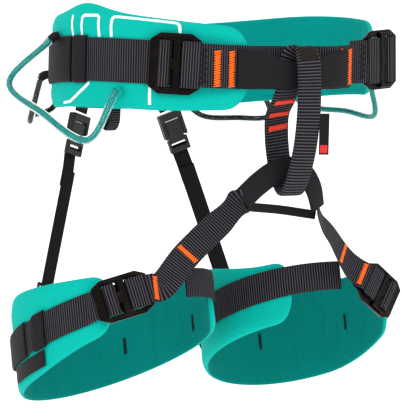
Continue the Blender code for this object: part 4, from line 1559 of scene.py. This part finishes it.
@dataclass
class Studio:
    """The camera, the pale floor and the soft lights.

    The camera stands at distance * back from the origin, where back comes from the azimuth and
    the elevation, and it is turned to face the point aim[0] * right + aim[1] * up.
    """

    azimuth: float = -36.122
    elevation: float = 2.369
    roll: float = 1.344
    distance: float = 3.3
    lens: float = 316.3
    aim: tuple[float, float] = (-0.0122, -0.1327)
    lit: tuple[float, float, float] = (0, 0, -0.12)

    def axes(self) -> np.ndarray:
        """Right, up and back as rows."""
        a, e, r = map(math.radians, (self.azimuth, self.elevation, self.roll))
        back = np.array([math.sin(a) * math.cos(e), -math.cos(a) * math.cos(e), math.sin(e)])
        right = np.array([math.cos(a), math.sin(a), 0])
        up = np.cross(back, right)
        turned = math.cos(r) * right + math.sin(r) * up
        return np.array([turned, math.cos(r) * up - math.sin(r) * right, back])

    def build(self) -> None:
        """Camera, floor, sky and lights."""
        right, up, back = self.axes()
        data = bpy.data.cameras.new("camera")
        data.lens = self.lens
        data.sensor_width = 36
        data.clip_end = 50
        camera = linked("camera", data)
        place = self.distance * back
        look = unit(place - self.aim[0] * right - self.aim[1] * up)
        side = unit(np.cross(up, look))
        turned = Matrix(np.column_stack([side, np.cross(look, side), look]).tolist()).to_4x4()
        camera.matrix_world = Matrix.Translation(place.tolist()) @ turned
        bpy.context.scene.camera = camera
        self.floor()
        self.sky()
        self.light("key", (-1.6, -1.7, 1.5), 1.3, 26)
        self.light("fill", (1.8, -1.9, 0.5), 2.4, 6)
        self.light("rim", (0.6, 2.0, 1.6), 1.8, 14)
        bpy.context.scene.view_settings.view_transform = "Standard"

    def floor(self) -> None:
        """A wide pale floor, half of its light its own so that it meets the sky without a line."""
        mesh = bpy.data.meshes.new("floor")
        far, low = 60.0, -0.9
        corners = [(x * far, y * far, low) for x, y in ((-1, -1), (1, -1), (1, 1), (-1, 1))]
        mesh.from_pydata(corners, [], [(0, 1, 2, 3)])
        made = linked("floor", mesh)
        paint = bpy.data.materials.new("matt_floor_paint")
        paint.use_nodes = True
        shader = paint.node_tree.nodes["Principled BSDF"]
        shader.inputs["Base Color"].default_value = (0.8, 0.8, 0.8, 1)
        shader.inputs["Roughness"].default_value = 1.0
        shader.inputs["Emission Color"].default_value = (1, 1, 1, 1)
        shader.inputs["Emission Strength"].default_value = 0.6
        mesh.materials.append(paint)

    def sky(self) -> None:
        """A plain white sky."""
        world = bpy.data.worlds.new("studio")
        world.use_nodes = True
        world.node_tree.nodes["Background"].inputs["Color"].default_value = (1, 1, 1, 1)
        world.node_tree.nodes["Background"].inputs["Strength"].default_value = 1.0
        bpy.context.scene.world = world

    def light(self, name: str, place: tuple[float, float, float], size: float, power: float) -> None:
        """A square soft light that faces the point `lit`, the middle of the harness."""
        data = bpy.data.lights.new(name, "AREA")
        data.size = size
        data.energy = power
        made = linked(name, data)
        made.location = place
        z = unit(np.array(place) - self.lit)
        x = unit(np.cross((0, 0, 1), z))
        made.rotation_euler = Matrix(np.column_stack([x, np.cross(z, x), z]).tolist()).to_euler()


def main() -> None:
    """Builds the studio and every sub-assembly in order."""
    logging.basicConfig(level=logging.INFO, format="%(message)s")
    Studio().build()
    WaistBelt().build()
    BelayLoop().build()
    LowerTieIn().build()
    LOG.info("belay loop and lower tie-in")
    route = (
        (-46, -113.0, -111.6),
        (-52.5, -112.3, -117.2),
        (-67, -107, -133),
        (-83, -101, -149),
        (-98, -95, -166),
    )
    LegLoop(Side.RIGHT, (36.0, 311.0), route, (0.62, -0.12, 0.77)).build()
    route = (
        (33.2, -113.8, -124.6),
        (36.5, -112.4, -131),
        (45, -107.5, -140),
        (60, -101.5, -151.5),
        (80, -95.5, -172),
    )
    LegLoop(Side.LEFT, (62.0, 320.0), route, (0.52, 0.72, 0.46)).build()
    LegLabel().build()
    GearLoops().build()
    RearStrap(Side.RIGHT, (-64.0, 118.5, -54.0), (-112.0, 104.5, -236.0)).build()
    RearStrap(Side.LEFT, (39.0, 125.0, -54.0), (104.0, 104.5, -234.0)).build()


if __name__ == "__main__":
    main()
